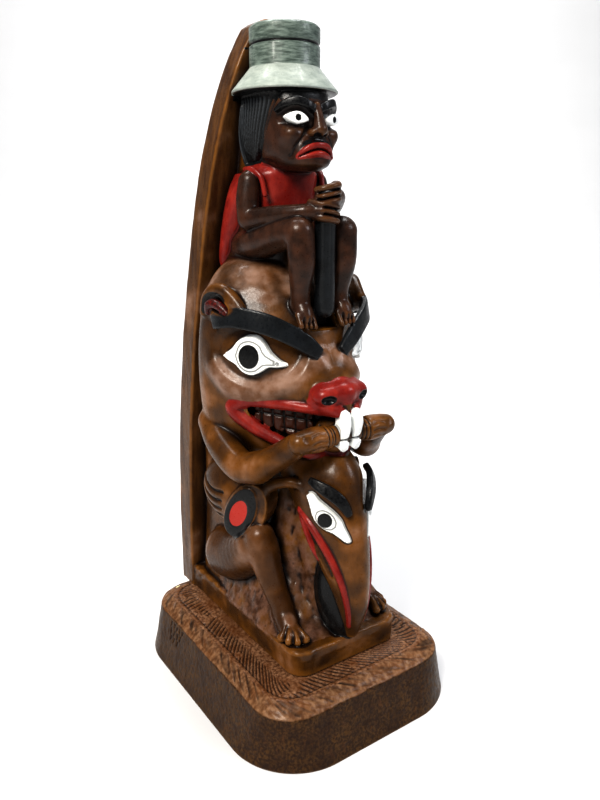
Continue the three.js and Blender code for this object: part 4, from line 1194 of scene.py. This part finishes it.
for colour, forms in paints.items():
    inside = np.full(len(co), -3.0, np.float32)
    for form, grow in forms:
        inside = np.maximum(inside, grow - touch(form, co))
    keep("paint_" + colour, inside)
keep("recess_fine", fine_recess)
keep("recess_broad", broad_recess)
co[:, 0] += POLE_X
co = np.clip(co, pole_lo, pole_hi)
mesh.vertices.foreach_set("co", (co * MM).ravel())
mesh.polygons.foreach_set("use_smooth", [True] * len(mesh.polygons))
mesh.update()
mesh.normals_split_custom_set_from_vertices([tuple(n) for n in lean])

# Antiqued wood-look casting: warm brown stain, near black in the cuts as stain and painted shade, darker in
# broad hollows as painted shade, tan on the ridges as rubbed wear and painted highlight, flat hobby paint in
# the painted areas with painted shade in their hollows and painted sheen on the hair, all under one satin to
# gloss lacquer.
finish, tree, shader = new_finish("antiqued brown stain and brushed paint under lacquer")
place = in_mm(tree)


def painted(colour, wobble=0.12):
    """Share of a painted area: 1 inside its brushed edge."""
    distance = put(tree, "Attribute", attribute_name="paint_" + colour).outputs["Fac"]
    return ramp(tree, math_node(tree, "ADD", distance, math_node(tree, "MULTIPLY", hand, wobble * 2)), -0.12,
        0.12)


fine = speckle(tree, place, 0.9)
blotch = speckle(tree, place, 7.0, 4.0)
patch = speckle(tree, place, 22.0, 3.0)
grain = speckle(tree, place, 1.6, 3.0, 0.6, (1.0, 1.0, 0.18))
hand = math_node(tree, "SUBTRACT", speckle(tree, place, 1.4, 2.0), 0.5)
recess = put(tree, "Attribute", attribute_name="recess_fine").outputs["Fac"]
hollow = put(tree, "Attribute", attribute_name="recess_broad").outputs["Fac"]
wood = mixed(tree, ramp(tree, blotch, 0.2, 0.8), "#2a1706", "#482c0d")
wood = mixed(tree, ramp(tree, patch, 0.38, 0.78, 0.0, 0.8), wood, "#82500c")
wood = mixed(tree, ramp(tree, grain, 0.5, 0.8, 0.0, 0.3), wood, "#1c0c05")
wood = mixed(tree, math_node(tree, "MULTIPLY", painted("board", 0.6), 0.75), wood,
             mixed(tree, ramp(tree, speckle(tree, place, 3.0, 3.0, 0.6, (1.0, 1.0, 0.08)), 0.3, 0.7),
                 "#351e0c", "#5c3e20"))
wood = mixed(tree, ramp(tree, painted("leg", 0.6), 0.2, 0.9, 0.0, 0.55), wood, "#381f0b")
pale_spot = speckle(tree, place, 4.0, 3.0, 0.6)
wood = mixed(tree, painted("rough", 0.6), wood,
    mixed(tree, ramp(tree, pale_spot, 0.3, 0.75), mixed(tree, ramp(tree, patch, 0.4, 0.6), "#3a2212", "#6b4412"),
        "#6e5040"))
# Pale where worn and where a highlight is painted on cheeks and insteps, in patches.
wood = mixed(tree, ramp(tree, math_node(tree, "ADD",
    put(tree, "Attribute", attribute_name="paint_wear_and_highlight").outputs["Fac"],
                                        math_node(tree, "MULTIPLY", math_node(tree, "SUBTRACT", patch, 0.5),
                                            7.0)), -0.2, 2.0, 0.0, 0.72),
             wood, mixed(tree, ramp(tree, blotch, 0.3, 0.7), "#6e4a30", "#9a7f70"))
skin = mixed(tree, ramp(tree, blotch, 0.3, 0.7), "#24140b", "#412719")
# Stain and painted shade: dark in the fine cuts and creases.
stain_and_shade_share = ramp(tree, math_node(tree, "ADD", recess, math_node(tree, "MULTIPLY", hand, 0.06)), 0.02, 0.13,
    0.0, 0.95)
# Painted shade: near black in broad hollows and between parts.
hollow_shade_share = ramp(tree, hollow, 0.03, 0.26, 0.0, 0.85)
# Rubbed wear and painted highlight: tan on ridges and edges, less on the man's skin.
rub_and_highlight_share = ramp(tree, math_node(tree, "SUBTRACT",
    math_node(tree, "MULTIPLY", math_node(tree, "SUBTRACT", blotch, 0.5), 0.16), recess), 0.06, 0.2, 0.0, 0.5)
rub_and_highlight_share = math_node(tree, "MULTIPLY", rub_and_highlight_share, ramp(tree, painted("skin", 0.3), 0.0, 1.0, 1.0, 0.35))
colour = mixed(tree, painted("skin", 0.3), wood, skin)
colour = mixed(tree, rub_and_highlight_share, colour, "#8b5c22")
colour = mixed(tree, hollow_shade_share, colour, "#120703")
colour = mixed(tree, painted("teeth"), colour, "#3b1d10")
colour = mixed(tree, stain_and_shade_share, colour, "#160a06")
red = mixed(tree, ramp(tree, blotch, 0.35, 0.7), "#6e1711", "#8c291e")
# The red paint darker in the cuts too: stain and painted shade.
red = mixed(tree, stain_and_shade_share, red, "#4a0d0a")
colour = mixed(tree, painted("red"), colour, red)
satin_black = mixed(tree, ramp(tree, blotch, 0.3, 0.7), "#0d0f11", "#181b1e")
# Painted highlight: the hair's satin black turned grey on the ridges of its strands, for their sheen.
hair_black_with_sheen = mixed(tree, ramp(tree, recess, 0.0, -0.14, 0.0, 0.5), satin_black, "#4a4e52")
black = mixed(tree, ramp(tree, fine, 0.4, 0.7), "#070708", "#141516")
white = mixed(tree, ramp(tree, blotch, 0.4, 0.7), "#f4f5f2", "#e3e6e4")
# Painted shade: the white paint greyed where it sinks into hollows.
white = mixed(tree, ramp(tree, recess, 0.03, 0.12, 0.0, 0.6), white, "#5a5a58")
colour = mixed(tree, painted("white", 0.05), colour, white)
ring = put(tree, "Attribute", attribute_name="paint_ring").outputs["Fac"]
ring_line = ramp(tree, math_node(tree, "ABSOLUTE", ring), 0.5, 0.2, 0.0, 0.75)
ring_line = math_node(tree, "MULTIPLY", ring_line, painted("white", 0.05))
colour = mixed(tree, ring_line, colour, "#3c3c3c")
sage = mixed(tree, ramp(tree, speckle(tree, place, 1.4, 3.0, 0.6, (0.3, 0.3, 1.6)), 0.3, 0.7), "#3f4a44",
    "#717d75")
mint = mixed(tree, ramp(tree, speckle(tree, place, 2.4, 3.0, 0.6, (0.5, 0.5, 1.4)), 0.2, 0.8), "#848d86",
    "#a3aaa2")
colour = mixed(tree, painted("sage", 0.02), colour, sage)
colour = mixed(tree, painted("mint", 0.02), colour, mint)
colour = mixed(tree, painted("staff", 0.05), colour, satin_black)
colour = mixed(tree, painted("satin", 0.08), colour, satin_black)
colour = mixed(tree, painted("hair", 0.08), colour, hair_black_with_sheen)
colour = mixed(tree, painted("black", 0.08), colour, black)
colour = mixed(tree, painted("blood", 0.08), colour, "#a52c20")
# Near black in the marked cuts, slits and gaps: stain and painted shade.
dark = math_node(tree, "MULTIPLY", painted("stain_and_shade", 0.1), ramp(tree, fine, 0.2, 0.6, 0.55, 0.95))
colour = mixed(tree, dark, colour, "#120805")
tree.links.new(colour, shader.inputs["Base Color"])
tree.links.new(ramp(tree, fine, 0.3, 0.7, 0.26, 0.48), shader.inputs["Roughness"])
shader.inputs["Specular IOR Level"].default_value = 0.18
shader.inputs["Coat Weight"].default_value = 0.16
shader.inputs["Coat Roughness"].default_value = 0.16
relief = put(tree, "Bump", {"Height": math_node(tree, "ADD", fine, grain), "Distance": 0.00015,
    "Strength": 0.45})
tree.links.new(relief.outputs["Normal"], shader.inputs["Normal"])
pole.data.materials.clear()
pole.data.materials.append(finish)
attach(pole, "root")
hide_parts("pole")
